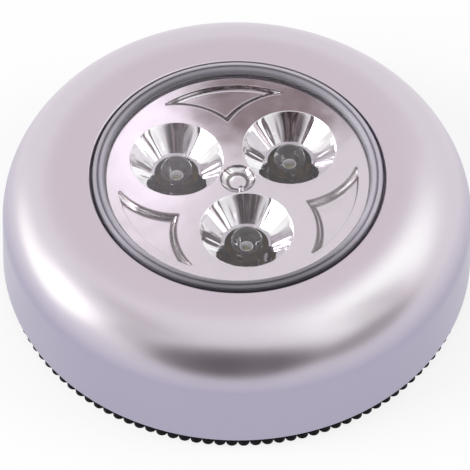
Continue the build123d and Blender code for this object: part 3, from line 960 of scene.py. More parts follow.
@dataclass
class Base:
    """Black base: scalloped flange, collar with bayonet lugs, and the foam pad under it."""

    radius: float = 35.5
    scallops: int = 120
    scallop_depth: float = 0.85
    lobe_steps: int = 14
    flange_top: float = 1.75
    bevel: float = 0.22
    bevel_bow: float = 0.293
    fillet: float = 0.3
    floor_top: float = 1.6
    collar_inner: float = 32.425
    collar_outer: float = 33.325
    collar_top: float = 4.4
    lug_low: float = 3.4
    lug_reach: float = 34.3
    lug_sweep: float = 26.0
    rounding: float = 0.2
    stop_sweep: float = 2.0
    stop_angle: float = 12.6
    stop_sunk: float = 0.3
    recess_radius: float = 27.1
    pad_radius: float = 27.0
    pad_thickness: float = 0.7
    pad_rounding: float = 0.15

    def rim(self) -> np.ndarray:
        """Half-round lobes round the edge.

        Each lobe is an arc of one circle whose ends stand on the valley circle, so with m the
        circle's distance and q its radius, a point at turn b is (m + q cos b, q sin b).

        Returns:
            Radius and angle of each point.
        """
        half_pitch = math.pi / self.scallops
        valley = self.radius - self.scallop_depth
        half_width, rise = valley * math.sin(half_pitch), self.radius - valley * math.cos(half_pitch)
        lobe = (half_width**2 + rise**2) / (2 * rise)
        reach = math.atan2(half_width, lobe - rise)
        turns = np.linspace(-reach, reach, self.lobe_steps, endpoint=False)
        across, along = self.radius - lobe + lobe * np.cos(turns), lobe * np.sin(turns)
        centres = np.arange(self.scallops) * 2 * half_pitch
        angles = (centres[:, None] + np.arctan2(along, across)).ravel()
        return np.stack([np.tile(np.hypot(across, along), self.scallops), angles], axis=-1)

    def cover(self) -> Skin:
        """Closed skin of the cover: rows that follow the lobes near the edge and circles further in.

        A row's radius is inset + share x lobe radius, with share 1 at the edge and 0 elsewhere.

        Returns:
            The skin.
        """
        edge, top, cut = self.bevel, self.flange_top, self.bevel_bow * self.bevel
        rows = [
            (0, 0, self.pad_thickness),
            (0, self.recess_radius, self.pad_thickness),
            (0, self.recess_radius, 0),
            (1, -edge, 0),
            (1, -cut, cut),
            (1, 0, edge),
            (1, 0, top - edge),
            (1, -cut, top - cut),
            (1, -edge, top),
            (0, self.collar_outer + self.fillet, top),
            (0, self.collar_outer, top + self.fillet),
            (0, self.collar_outer, self.collar_top - edge),
            (0, self.collar_outer - edge, self.collar_top),
            (0, self.collar_inner + edge, self.collar_top),
            (0, self.collar_inner, self.collar_top - edge),
            (0, self.collar_inner, self.floor_top),
            (0, 0, self.floor_top),
        ]
        share, inset, height = np.array(rows, float).T[..., None]
        radius, angles = self.rim().T
        return polar(share * radius + inset, angles, height)

    def bayonet(self) -> Skin:
        """Three lugs that stand out from the collar, each with a stop below its end.

        Returns:
            The skin.
        """
        inner, edge = (self.collar_inner + self.collar_outer) / 2, self.rounding
        lug = bar(inner, self.lug_reach, self.lug_low, self.collar_top, edge)
        low = self.flange_top - self.stop_sunk
        stop = bar(inner, self.lug_reach, low, self.collar_top - edge, edge, 0)
        stop = swept_arc(stop, self.stop_sweep, 4).at(-self.stop_angle)
        return trio(joined(swept_arc(lug, self.lug_sweep), stop), SIDE_ANGLES)

    def pad(self) -> Skin:
        """Foam disc with softly cut edges."""
        return turned(bar(0, self.pad_radius, 0, self.pad_thickness, self.pad_rounding), 160)

    def build(self) -> None:
        """Builds and dresses the cover and the pad."""
        plastic = MouldedPlastic("black moulded plastic", (0.004, 0.004, 0.006), 0.6, gloss=0.07)
        skin = joined(self.cover(), self.bayonet())
        place("base_cover_scalloped", skin, plastic.material(), Body.BASE, Slot.BLACK_PLASTIC, "base_cover")
        foam = FoamTape("white foam tape").material()
        pad = place("foam_pad", self.pad(), foam, Body.BASE, Slot.FOAM, "adhesive_pad")


# Housing


@dataclass
class Housing:
    """Silver ring with its wide rounded shoulder, ledges for the bayonet and screw posts."""

    radius: float = 36.0
    edge: float = 1.95
    side_top: float = 11.6
    top: float = 21.6
    opening: float = 22.6
    flat: float = 2.05
    wall: float = 1.4
    lip: float = 0.3
    foot: float = 0.35
    foot_inner: float = 0.1
    shoulder_steps: int = 48
    ledge_inner: float = 33.625
    ledge_levels: tuple[float, float] = (2.2, 3.2)
    ledge_sweep: float = 22.0
    ledge_rounding: float = 0.2
    post_ring: float = 32.8
    post_radius: float = 1.9
    post_low: float = 7.15
    post_crown: float = 0.9
    bore: float = 0.95
    bore_top: float = 11.0
    bore_bevel: tuple[float, float] = (0.2, 0.5)
    post_columns: int = 40

    def shoulder(self, inset: float) -> np.ndarray:
        """Quarter ellipse from the flat top down to the side.

        At turn t it is (flat's edge + across sin t, side's top + up cos t).

        Args:
            inset: distance from the outer face.

        Returns:
            Radius and height of each point.
        """
        start = self.opening + self.flat
        across, up = self.radius - start - inset, self.top - self.side_top - inset
        turns = np.linspace(0, np.pi / 2, self.shoulder_steps)
        return np.stack([start + across * np.sin(turns), self.side_top + up * np.cos(turns)], axis=-1)

    def ring(self) -> Skin:
        """Closed skin of the ring: lip, top, shoulder, side and foot, then back inside.

        Returns:
            The skin.
        """
        lip = rounded([
            (self.opening, self.top - self.wall, 0),
            (self.opening, self.top, self.lip),
            (self.opening + self.flat, self.top, 0),
        ], closed=False, steps=7)[:-1]
        foot = rounded([
            (self.radius, self.side_top, 0),
            (self.radius, self.edge, self.foot),
            (self.radius - self.wall, self.edge, self.foot_inner),
            (self.radius - self.wall, self.side_top, 0),
        ], closed=False, steps=7)[1:-1]
        outline = np.concatenate([lip, self.shoulder(0), foot, self.shoulder(self.wall)[::-1]])
        return turned(outline, 256, close_rows=True)

    def ledges(self) -> Skin:
        """Three ledges inside the foot that the lugs hold."""
        ledge = bar(self.radius - self.wall / 2, self.ledge_inner, *self.ledge_levels, self.ledge_rounding)
        return trio(swept_arc(ledge, self.ledge_sweep), SIDE_ANGLES)

    def inner_height(self, radius: np.ndarray) -> np.ndarray:
        """Height of the middle of the shoulder's wall, from its ellipse.

        Args:
            radius: distance of each point from the axis.

        Returns:
            The height there.
        """
        inset = self.wall / 2
        start = self.opening + self.flat
        share = np.clip((radius - start) / (self.radius - start - inset), 0, 1)
        return self.side_top + (self.top - self.side_top - inset) * np.sqrt(1 - share**2)

    def posts(self) -> Skin:
        """Three posts from the shoulder down to the screws, closed inside the shoulder's wall.

        Returns:
            The skin.
        """
        bevel, fall = self.bore_bevel
        post = turned(np.array([
            (0, self.bore_top),
            (self.bore - bevel, self.bore_top),
            (self.bore, self.bore_top - fall),
            (self.bore, self.post_low),
            (self.post_radius, self.post_low),
            (self.post_radius, 0),
            (self.post_crown, 0),
            (0, 0),
        ]), self.post_columns).at(radius=self.post_ring)
        x, y, z = post.points.T
        x *= np.minimum(1.0, (self.radius - self.wall / 2) / np.hypot(x, y))
        upper = slice(5 * self.post_columns, None)
        z[upper] = self.inner_height(np.hypot(x, y)[upper])
        return trio(post, CORNER_ANGLES)

    def build(self) -> None:
        """Builds and dresses the ring."""
        skin = joined(self.ring(), self.ledges(), self.posts())
        paint = SatinPaint("satin silver paint").material()
        place("housing_ring", skin, paint, Body.HOUSING, Slot.SILVER, "housing_shell", crease=40.0)


# Light engine


@dataclass
class Reflector:
    """Chromed plate with three cups, three curved wing pockets, a round dimple and board posts."""

    radius: float = 20.35
    top: float = 20.5
    bottom: float = 17.9
    edge: float = 0.3
    columns: int = 240
    cup_pitch: float = 10.08
    cup_radius: float = 7.18
    cup_hole: float = 3.4
    cup_low: float = 17.0
    cup_foot: float = 4.6
    cup_hem: float = 0.5
    cup_lip: float = 0.2
    cup_columns: int = 288
    cup_rows: int = 14
    cup_ripple: float = 0.12
    ripple_counts: tuple[int, ...] = (9, 14, 23, 31, 43)
    wing_outer: float = 18.5
    wing_side: float = 10.5
    wing_depth: float = 0.9
    wing_edge: float = 0.22
    wing_slope: float = 60.0
    wing_tip: float = 0.35
    wing_tip_least: float = 0.04
    wing_lip: float = 0.75
    dimple_radius: float = 2.7
    dimple_depth: float = 1.1
    dimple_lip: float = 0.12
    dimple_fall: float = 0.012
    dimple_columns: int = 96
    pip_radius: float = 0.5
    pip_place: tuple[float, float, float] = (0.3, -1.5, 19.85)
    post_pitch: float = 8.5
    post_radius: float = 2.0
    post_low: float = 11.2
    post_sunk: float = 0.4
    bore: float = 1.0
    bore_top: float = 16.5

    def cup(self) -> Skin:
        """One cup: a rounded lip that leaves the face level, a cone down to the lamp's hole and its foot.

        The cone swells in and out a little round its axis, as plated mouldings do: at share s of
        its depth and angle t its radius grows by ripple sin(pi s) times a sum of sines of t.

        Returns:
            The skin.
        """
        outline = rounded([
            (self.cup_radius + 2 * self.cup_lip, self.top, 0),
            (self.cup_radius, self.top, self.cup_lip),
            (self.cup_hole, self.cup_low, 0),
        ], closed=False, steps=6)[1:]
        start, end = outline[-2:]
        depth = np.linspace(0, 1, self.cup_rows)[1:]
        wall = start + (end - start) * depth[:, None]
        foot = [(self.cup_foot - self.cup_hem, self.cup_low), (self.cup_foot, self.bottom)]
        skin = turned(np.concatenate([outline[:-1], wall, foot]), self.cup_columns)
        angles = all_round(self.cup_columns)
        waves = sum(np.sin(count * angles + count**2) / count for count in self.ripple_counts)
        share = np.concatenate([np.zeros(len(outline) - 1), depth, [0, 0]])
        swell = 1 + self.cup_ripple / self.cup_hole * np.outer(np.sin(np.pi * share), waves).ravel()
        skin.points[:, :2] *= swell[:, None]
        return skin

    def cup_rim(self) -> float:
        """Radius at which a cup's lip leaves the face."""
        slope = math.atan2(self.top - self.cup_low, self.cup_radius - self.cup_hole)
        return self.cup_radius + self.cup_lip * math.tan(slope / 2)

    def dimple(self) -> Skin:
        """Round hollow: a small lip, then a spherical cap whose radius is (a a + h h) / (2 h).

        Returns:
            The skin.
        """
        width, depth = self.dimple_radius, self.dimple_depth
        ball = (width**2 + depth**2) / (2 * depth)
        turns = np.linspace(math.asin(width / ball), 0, 24)
        cap = np.stack([ball * np.sin(turns), self.top - depth + ball * (1 - np.cos(turns))], axis=-1)
        lip, fall = self.dimple_lip, self.dimple_fall
        outline = np.concatenate([[(width + lip, self.top), (width + lip / 2, self.top - fall)], cap])
        return turned(outline, self.dimple_columns)

    def pip(self) -> Skin:
        """Small ball-shaped gate mark that stands in the dimple's front slope.

        Returns:
            The skin.
        """
        turns = np.linspace(0, np.pi, 16)
        ball = turned(self.pip_radius * np.stack([np.sin(turns), -np.cos(turns)], axis=-1), 32)
        ball.points += np.array(self.pip_place)
        return ball

    def wing_loops(self, inset: np.ndarray) -> np.ndarray:
        """Plan outlines of one wing pocket, each set in from its mouth by a given distance.

        The sides are arcs round the two cups next to it, the outer edge an arc round the middle,
        and the tips are arcs that touch both neighbours. With p the cups' distance, a tip's
        middle is R - f from the light's middle and S + f from its cup's, which the law of
        cosines turns into an angle.

        Args:
            inset: distance of each loop from the mouth.

        Returns:
            Points, loops by columns by 2, for the pocket whose middle is on the X axis.
        """
        outer, side = self.wing_outer - inset * self.wing_edge, self.wing_side + inset
        tip = np.maximum(self.wing_tip - inset, self.wing_tip_least)
        cup = self.cup_pitch * np.array([math.cos(math.pi / 3), math.sin(math.pi / 3)])
        far, near = outer - tip, side + tip
        angle = np.arccos((far**2 + self.cup_pitch**2 - near**2) / (2 * far * self.cup_pitch))
        lean = math.pi / 3 - angle
        corner = far[:, None] * np.stack([np.cos(lean), np.sin(lean)], axis=-1)
        root = np.stack([cup[0] + np.sqrt(near**2 - cup[1] ** 2), np.zeros_like(inset)], axis=-1)
        to_corner = np.arctan2(corner[:, 1] - cup[1], corner[:, 0] - cup[0])
        to_root = np.arctan2(root[:, 1] - cup[1], root[:, 0] - cup[0])

        def sweep(
            middle: np.ndarray, radius: np.ndarray, start: np.ndarray, end: np.ndarray, steps: int
        ) -> np.ndarray:
            """Arcs of all the loops at once."""
            turns = start + (end - start) * np.linspace(0, 1, steps)
            return middle[:, None] + radius[:, None, None] * np.stack([np.cos(turns), np.sin(turns)], axis=-1)

        zero = np.zeros((len(inset), 2))
        lean, to_corner, to_root = lean[:, None], to_corner[:, None], to_root[:, None]
        edge = sweep(zero, outer, 0 * lean, lean, 40)
        first = sweep(corner, tip, lean, to_corner + np.pi, 14)
        flank = sweep(zero + cup, side, to_corner, to_root, 48)
        last = sweep(root, tip, to_root + np.pi, 0 * lean + np.pi, 8)
        half = np.concatenate([edge, first, flank, last], axis=1)
        mirror = half[:, ::-1][:, 1:-1] * np.array([1.0, -1.0])
        return np.concatenate([half, mirror], axis=1)

    def wing(self) -> Skin:
        """One wing pocket: a rounded lip, a slope, a rounded foot and a flat floor.

        Returns:
            The skin of the pocket whose middle is on the X axis.
        """
        slope = math.radians(self.wing_slope)
        turns = np.linspace(0, slope, 9)
        lip = np.stack([np.sin(turns), np.cos(turns) - 1], axis=-1) * self.wing_lip
        foot = lip[::-1] * -1
        rest = self.wing_depth + 2 * lip[-1, 1]
        foot += lip[-1] + np.array([rest / math.tan(slope), -rest]) - foot[0]
        inset, drop = np.concatenate([lip, foot]).T
        loops = self.wing_loops(inset)
        return joined(stacked(loops, self.top + drop), flat_face(loops[-1], [], self.top + drop[-1]))

    def plate(self) -> Skin:
        """Face with its openings, the outer edge, and the underside with the lamps' holes.

        Returns:
            The skin.
        """
        edge = rounded([
            (self.radius - 1, self.top, 0),
            (self.radius, self.top, self.edge),
            (self.radius, self.bottom, 0),
        ], closed=False)[1:]
        mouth = self.wing_loops(np.zeros(1))[0]
        holes = [circle(self.dimple_radius + self.dimple_lip, self.dimple_columns)]
        holes += [circle(self.cup_rim(), self.cup_columns, angle, self.cup_pitch) for angle in CORNER_ANGLES]
        for turn in np.radians(SIDE_ANGLES):
            holes.append(mouth @ np.array([[np.cos(turn), np.sin(turn)], [-np.sin(turn), np.cos(turn)]]))
        face = flat_face(circle(self.radius - self.edge, self.columns), holes, self.top)
        lamps = [circle(self.cup_foot, self.cup_columns, angle, self.cup_pitch) for angle in CORNER_ANGLES]
        under = flat_face(circle(self.radius, self.columns), lamps, self.bottom)
        return joined(face, turned(edge, self.columns), under)

    def posts(self) -> Skin:
        """Three posts under the plate for the board's screws."""
        post = turned(np.array([
            (0, self.bore_top),
            (self.bore, self.bore_top),
            (self.bore, self.post_low),
            (self.post_radius, self.post_low),
            (self.post_radius, self.bottom + self.post_sunk),
            (0, self.bottom + self.post_sunk),
        ]), 40)
        return trio(post, SIDE_ANGLES, self.post_pitch)

    def build(self) -> None:
        """Builds and dresses the reflector."""
        cups, wings = trio(self.cup(), CORNER_ANGLES, self.cup_pitch), trio(self.wing(), SIDE_ANGLES)
        plate = joined(self.plate(), self.dimple(), self.pip(), cups, wings)
        chrome = GroovedChrome("vacuum-plated chrome").material()
        plain = PlatedChrome("plated posts").material()
        place("reflector_plate", plate, chrome, Body.ENGINE, Slot.CHROME, "reflector", crease=SHARP)
        place("reflector_posts", self.posts(), plain, Body.ENGINE, Slot.CHROME)


@dataclass
class Lens:
    """Clear lens: a flat disc with a raised rounded rim, a skirt, a travel flange and snap beads."""

    radius: float = 22.2
    disc_bottom: float = 20.55
    disc_top: float = 21.45
    top: float = 22.0
    rim: float = 1.5
    rim_rounding: float = 0.3
    rounding: float = 0.1
    soft: float = 0.15
    groove: float = 0.22
    groove_radius: float = 21.4
    groove_half: float = 0.2
    groove_floor: float = 0.06
    groove_rounding: float = 0.05
    ridge_rounding: float = 0.12
    slope: float = 0.4
    skirt: float = 1.6
    skirt_bottom: float = 17.2
    flange_radius: float = 23.5
    flange_low: float = 18.7
    flange_high: float = 19.9
    bead_reach: float = 20.15
    bead_levels: tuple[float, float] = (17.35, 17.85)
    bead_sweep: float = 20.0

    def body(self) -> Skin:
        """Closed skin turned from the lens's outline.

        Returns:
            The skin.
        """
        inner, edge, soft = self.radius - self.skirt, self.rounding, self.soft
        step, groove, low = self.radius - self.rim, self.groove_radius, self.top - self.groove
        outline = rounded([
            (0, self.disc_bottom, 0),
            (inner, self.disc_bottom, edge),
            (inner, self.skirt_bottom, edge),
            (self.radius, self.skirt_bottom, edge),
            (self.radius, self.flange_low, edge),
            (self.flange_radius, self.flange_low, soft),
            (self.flange_radius, self.flange_high, soft),
            (self.radius, self.flange_high, edge),
            (self.radius, self.top, self.rim_rounding),
            (groove + self.groove_half, self.top, self.ridge_rounding),
            (groove + self.groove_floor, low, self.groove_rounding),
            (groove - self.groove_floor, low, self.groove_rounding),
            (groove - self.groove_half, self.top, self.ridge_rounding),
            (step, self.top, soft),
            (step - self.slope, self.disc_top, soft),
            (0, self.disc_top, 0),
        ], closed=False, steps=8)
        return turned(outline, 256)

    def beads(self) -> Skin:
        """Three snap beads inside the skirt, which hold the reflector's edge from below."""
        bead = bar(self.radius - self.skirt / 2, self.bead_reach, *self.bead_levels, self.rounding)
        return trio(swept_arc(bead, self.bead_sweep, 16), SIDE_ANGLES)

    def build(self) -> None:
        """Builds and dresses the lens."""
        skin, acrylic = joined(self.body(), self.beads()), ClearLens("clear acrylic").material()
        place("clear_lens", skin, acrylic, Body.ENGINE, Slot.CLEAR, "lens", crease=SHARP)


@dataclass
class Lamp:
    """Five-millimetre LED: clear epoxy round a pair of posts, one with the chip's cup."""

    angle: float
    number: int
    pitch: float = 10.08
    seat: float = 11.2
    height: float = 8.7
    radius: float = 2.5
    flange: float = 2.9
    flange_height: float = 1.0
    rounding: float = 0.1
    cup_top: float = 5.6
    cup_radius: float = 0.62
    cup_floor: float = 0.3
    cup_wall: float = 0.1
    cup_depth: float = 0.35
    cup_foot: tuple[float, float] = (1.3, 1.2)
    chip_height: float = 0.15
    chip_lift: float = 0.02
    posts: tuple[float, float] = (-0.55, 1.5)
    post_width: float = 0.55
    post_inset: float = 0.2
    post_taper: float = 0.6
    post_bevel: float = 0.3

    def epoxy(self) -> Skin:
        """Closed skin of the flange, the round body and the half-ball on top.

        Returns:
            The skin.
        """
        shoulder = self.seat + self.height - self.radius
        turns = np.linspace(0, np.pi / 2, 24)
        dome = np.stack([self.radius * np.cos(turns), shoulder + self.radius * np.sin(turns)], axis=-1)
        foot = rounded([
            (0, self.seat, 0),
            (self.flange, self.seat, self.rounding),
            (self.flange, self.seat + self.flange_height, 1.5 * self.rounding),
            (self.radius, self.seat + self.flange_height, self.rounding),
            (self.radius, shoulder, 0),
        ], closed=False)[:-1]
        return turned(np.concatenate([foot, dome]), 72)

    def post(self, along: float, low: float, high: float) -> Skin:
        """Square post with a narrowed top, as four-sided rings closed at both ends.

        Args:
            along: its place along Y.
            low: height of its foot.
            high: height of its top.

        Returns:
            The skin.
        """
        half = self.post_width / 2
        corners = np.array([(-1, -1), (1, -1), (1, 1), (-1, 1)], float)
        sizes = np.array([0, half, half, half * self.post_taper, 0])
        plan = corners[None] * sizes[:, None, None] + np.array([0.0, along])
        return stacked(plan, np.array([low, low, high - self.post_bevel, high, high]))

    def frame(self) -> Skin:
        """Metal inside: two flat posts, the cup with its sloped wall, and the second post's head.

        Returns:
            The skin.
        """
        top, floor, low = self.seat + self.cup_top, self.cup_floor, self.seat + self.post_inset
        under, side = self.cup_foot
        cup = turned(np.array([
            (0, top - under),
            (floor, top - side),
            (self.cup_radius, top),
            (self.cup_radius - self.cup_wall, top),
            (floor, top - self.cup_depth),
            (0, top - self.cup_depth),
        ]), 32)
        first, second = self.posts
        return joined(cup, self.post(first, low, top - side), self.post(second, low, top - self.post_inset))

    def chip(self) -> Skin:
        """Drop of phosphor in the cup, as a shallow cap.

        Returns:
            The skin.
        """
        turns = np.linspace(0, np.pi / 2, 8)
        low = self.seat + self.cup_top - self.cup_depth + self.chip_lift
        cap = np.stack([self.cup_floor * np.cos(turns), low + self.chip_height * np.sin(turns)], axis=-1)
        return turned(np.concatenate([[(0, low)], cap]), 24)

    def build(self, epoxy: Material, metal: Material, phosphor: Material) -> None:
        """Builds the lamp in shared finishes.

        Args:
            epoxy: finish of the body.
            metal: finish of the lead frame.
            phosphor: finish of the chip.
        """
        body, frame, chip = [
            skin.at(self.angle, self.pitch) for skin in (self.epoxy(), self.frame(), self.chip())
        ]
        name = f"led_{self.number}"
        place(f"{name}_epoxy", body, epoxy, Body.ENGINE, Slot.EPOXY, name)
        place(f"{name}_frame", frame, metal, Body.ENGINE, Slot.TINNED)
        place(f"{name}_chip", chip, phosphor, Body.ENGINE, Slot.EPOXY)


# Inside


@dataclass
class Cell:
    """Battery cell on one side of the well: steel can, printed sleeve, and the spring at its flat end."""

    angle: float
    number: int
    apothem: float = 18.7
    height: float = 7.15
    radius: float = 5.25
    half_length: float = 22.25
    dish: tuple[float, float] = (3.4, 3.7)
    step: float = 0.15
    inset: float = 0.1
    rounding: float = 0.1
    rim: float = 0.3
    cap: tuple[float, float] = (2.6, 2.9)
    cap_foot: float = 0.2
    nub_radius: float = 1.9
    nub_rounding: float = 0.25
    nub: float = 0.8
    sleeve_inner: float = 4.3
    sleeve_inset: float = 0.05
    sleeve_edge: float = 0.03
    sleeve_curl: float = 0.5
    sleeve_wall: float = 0.4
    spring_reach: float = 2.3
    spring_foot: float = 2.3
    spring_tip: float = 1.2
    spring_turns: float = 2.0
    spring_wire: float = 0.2

    def can(self) -> Skin:
        """Steel can: flat end with a shallow step, side, and the raised end's shoulder and nub.

        Returns:
            The skin, upright.
        """
        low, shoulder, wide = -self.half_length, self.half_length - self.nub, self.radius - self.inset
        (dish, ring), (cap, cap_edge) = self.dish, self.cap
        outline = rounded([
            (0, low, 0),
            (dish, low, self.rounding),
            (ring, low + self.step, self.rounding),
            (wide, low + self.step, self.rim),
            (wide, shoulder - self.step, self.rim),
            (cap_edge, shoulder - self.step, self.cap_foot),
            (cap, shoulder, self.rounding),
            (self.nub_radius, shoulder, self.rounding),
            (self.nub_radius, self.half_length, self.nub_rounding),
            (0, self.half_length, 0),
        ], closed=False)
        return turned(outline, 72)

    def sleeve(self) -> Skin:
        """Thin sleeve that curls in over both ends of the can.

        Returns:
            The skin, upright.
        """
        low, high = self.sleeve_inset - self.half_length, self.half_length - self.nub - self.sleeve_inset
        outline = rounded([
            (self.sleeve_inner, low, self.sleeve_edge),
            (self.radius, low, self.sleeve_curl),
            (self.radius, high, self.sleeve_curl),
            (self.sleeve_inner, high, self.sleeve_edge),
            (self.sleeve_inner, high - self.sleeve_wall, 0),
            (self.sleeve_inner, low + self.sleeve_wall, 0),
        ])
        return turned(outline, close_rows=True)

    def spring(self) -> Skin:
        """Conical spring: at share s of its way a point is at turn 4 pi s and radius foot to tip.

        Returns:
            The skin, upright.
        """
        share = np.linspace(0, 1, 97)
        turns = 2 * np.pi * self.spring_turns * share
        radius = self.spring_foot + (self.spring_tip - self.spring_foot) * share
        rise = (self.spring_reach - 2 * self.spring_wire) * share
        rise += self.spring_wire - self.half_length - self.spring_reach
        path = np.stack([radius * np.cos(turns), radius * np.sin(turns), rise], axis=-1)
        return pipe(path, self.spring_wire, UP, 12)

    def build(self, steel: Material, nickel: Material) -> None:
        """Builds the cell and its spring in shared metals.

        Args:
            steel: finish of the can.
            nickel: finish of the spring.
        """
        can, sleeve, spring = [
            skin.lying().at(self.angle, self.apothem, self.height)
            for skin in (self.can(), self.sleeve(), self.spring())
        ]
        wrap = CellWrap(f"printed wrap {self.number}", self.angle).material()
        name, coil = f"cell_{self.number}", f"contact_spring_{self.number}"
        place(f"{name}_can", can, steel, Body.HOUSING, Slot.WRAP, name, crease=SHARP)
        place(f"{name}_sleeve", sleeve, wrap, Body.HOUSING, Slot.WRAP)
        place(f"{coil}_coil", spring, nickel, Body.HOUSING, Slot.NICKEL, coil)


@dataclass
class Screws:
    """Screws put in from below: a rounded head with a cross recess, and a threaded shank."""

    head: float = 1.7
    head_height: float = 1.1
    head_edge: float = 0.1
    head_dome: float = 0.35
    face: float = 1.2
    shank: float = 0.95
    length: float = 5.0
    point: float = 0.3
    thread_pitch: float = 0.7
    thread_depth: float = 0.14
    slot_width: float = 0.38
    slot_length: float = 1.7
    slot_depth: float = 0.6
    slot_taper: float = 0.75
    slot_point: float = 0.05
    sunk: float = 0.2
    columns: int = 24
    chassis_place: tuple[float, float] = (32.8, 5.85)
    board_place: tuple[float, float] = (8.5, 9.8)

    def cross(self) -> np.ndarray:
        """Plan outline of the recess, an upright cross with twelve corners.

        Returns:
            The corners.
        """
        near, far = self.slot_width / 2, self.slot_length / 2
        arm = np.array([(far, -near), (far, near), (near, near)])
        quarter = [(0, 1), (1, 0), (0, -1), (-1, 0)]
        return np.concatenate([arm @ np.array([[c, s], [-s, c]]) for s, c in quarter])

    def shaft(self) -> Skin:
        """Threaded shank with its point.

        The thread's radius at height z and angle t is the shank's less depth times the distance
        of z / pitch - t / 2 pi from the nearest whole number, doubled.

        Returns:
            The skin.
        """
        rise = np.linspace(-self.sunk, self.length - self.point, 64)[:, None]
        turns = all_round(self.columns)
        phase = rise / self.thread_pitch - turns / (2 * np.pi)
        radius = self.shank - self.thread_depth * 2 * np.abs(phase - np.round(phase))
        closed = np.zeros((1, self.columns))
        radius = np.concatenate([closed, radius, closed + self.point, closed])
        return polar(radius, turns, np.concatenate([rise[:1], rise, [[self.length], [self.length]]]))

    def skin(self) -> Skin:
        """Screw with its seat at height zero, its head down and its shank up.

        Returns:
            The skin.
        """
        low, cross = -self.head_height, self.cross()
        side = rounded([
            (0, 0, 0),
            (self.head, 0, self.head_edge),
            (self.head, low, self.head_dome),
            (self.face, low, 0),
        ], closed=False)
        scale = np.array([1.0, self.slot_taper, 0.0])[:, None, None]
        depths = np.array([0.0, self.slot_depth, self.slot_depth + self.slot_point])
        recess = stacked(cross * scale, low + depths)
        return joined(turned(side, 40), flat_face(circle(self.face, 40), [cross], low), recess, self.shaft())

    def build(self, metal: Material) -> None:
        """Builds the three chassis screws and the three board screws.

        Args:
            metal: their finish.
        """
        chassis = trio(self.skin(), CORNER_ANGLES, *self.chassis_place)
        board = trio(self.skin(), SIDE_ANGLES, *self.board_place)
        place("chassis_screw_set", chassis, metal, Body.HOUSING, Slot.ZINC, "chassis_screws", crease=SHARP)
        place("board_screw_set", board, metal, Body.ENGINE, Slot.ZINC, "board_screws", crease=SHARP)


@dataclass
class Resistor:
    """Axial resistor under the board, with swollen ends."""

    half_length: float = 3.15
    waist: float = 0.96
    swell: float = 0.24
    swell_place: float = 2.25
    swell_width: float = 0.6
    end: float = 0.7
    distance: float = 5.2
    height: float = 8.4

    def body(self) -> Skin:
        """Turned body: waist + swell exp(-((|z| - place) / width)^2), closed by elliptic ends.

        Returns:
            The skin, upright.
        """
        along = np.sin(np.linspace(-np.pi / 2, np.pi / 2, 61)) * self.half_length
        off = (np.abs(along) - self.swell_place) / self.swell_width
        radius = self.waist + self.swell * np.exp(-(off**2))
        end = np.clip((np.abs(along) - self.half_length + self.end) / self.end, 0, 1)
        return turned(np.stack([radius * np.sqrt(1 - end**2), along], axis=-1), 48)

    def build(self) -> None:
        """Builds and dresses the resistor."""
        body = self.body().lying().at(-90.0, self.distance, self.height)
        lacquer = BandedLacquer("banded lacquer").material()
        place("resistor_body", body, lacquer, Body.ENGINE, Slot.LACQUER, "resistor")


@dataclass
class LeadWire:
    """Insulated wire from a cell contact's tag in over the deck and down to the board."""

    node: str
    slot: Slot
    colour: Colour
    angle: float
    start: float
    radius: float = 0.5
    height: float = 14.15
    drop: float = 14.2
    foot: float = 11.2
    bend: float = 1.1
    steps: int = 12

    def line(self) -> np.ndarray:
        """Middle line: level run inwards, a quarter turn of the bend's radius, and a run down.

        Returns:
            The points.
        """
        turns = np.linspace(0, np.pi / 2, self.steps)
        corner = np.stack([
            self.drop + self.bend * (1 - np.sin(turns)),
            np.zeros(self.steps),
            self.height - self.bend * (1 - np.cos(turns)),
        ], axis=-1)
        run = np.linspace([self.start, 0, self.height], corner[0], self.steps)[:-1]
        down = np.linspace(corner[-1], [self.drop, 0, self.foot], 7)[1:]
        return np.concatenate([run, corner, down])

    def build(self) -> None:
        """Builds the wire and bakes it where it stands, on no moving body."""
        tube = pipe(self.line(), self.radius, BACK, 20).at(self.angle).mesh(f"{self.node}_tube", 35.0)
        dress(tube, MouldedPlastic(f"{self.slot.value} sleeve", self.colour, 0.32, 2500.0).material())
        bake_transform(tube)
        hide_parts(self.node)
        log.info("%s bends from housing to board, %d faces", tube.name, len(tube.data.polygons))


# Stage


def towards(azimuth: float, elevation: float) -> Vector:
    """Direction (sin a cos e, -cos a cos e, sin e), with azimuth 0 in front and 90 at the right."""
    turn, tilt = math.radians(azimuth), math.radians(elevation)
    return Vector((math.sin(turn) * math.cos(tilt), -math.cos(turn) * math.cos(tilt), math.sin(tilt)))


def sheet(name: str, wide: float, high: float, finish: Material) -> Object:
    """Flat rectangle of the stage, round its own middle.

    Args:
        name: name of the sheet.
        wide: half its width in metres.
        high: half its height in metres.
        finish: its material.

    Returns:
        The sheet.
    """
    mesh = bpy.data.meshes.new(name)
    corners = [(-wide, -high, 0), (wide, -high, 0), (wide, high, 0), (-wide, high, 0)]
    mesh.from_pydata(corners, [], [(0, 1, 2, 3)])
    made = dress(bpy.data.objects.new(name, mesh), finish)
    bpy.context.scene.collection.objects.link(made)
    return made


def face_light(thing: Object, azimuth: float, elevation: float, distance: float) -> None:
    """Stands a thing somewhere round the light, with its Z axis away from it.

    Args:
        thing: the card or lamp.
        azimuth: turn from the front in degrees.
        elevation: height above the horizon in degrees.
        distance: metres from the light.
    """
    back = towards(azimuth, elevation)
    thing.rotation_mode = "QUATERNION"
    thing.rotation_quaternion = back.to_track_quat("Z", "Y")
    thing.location = back * distance


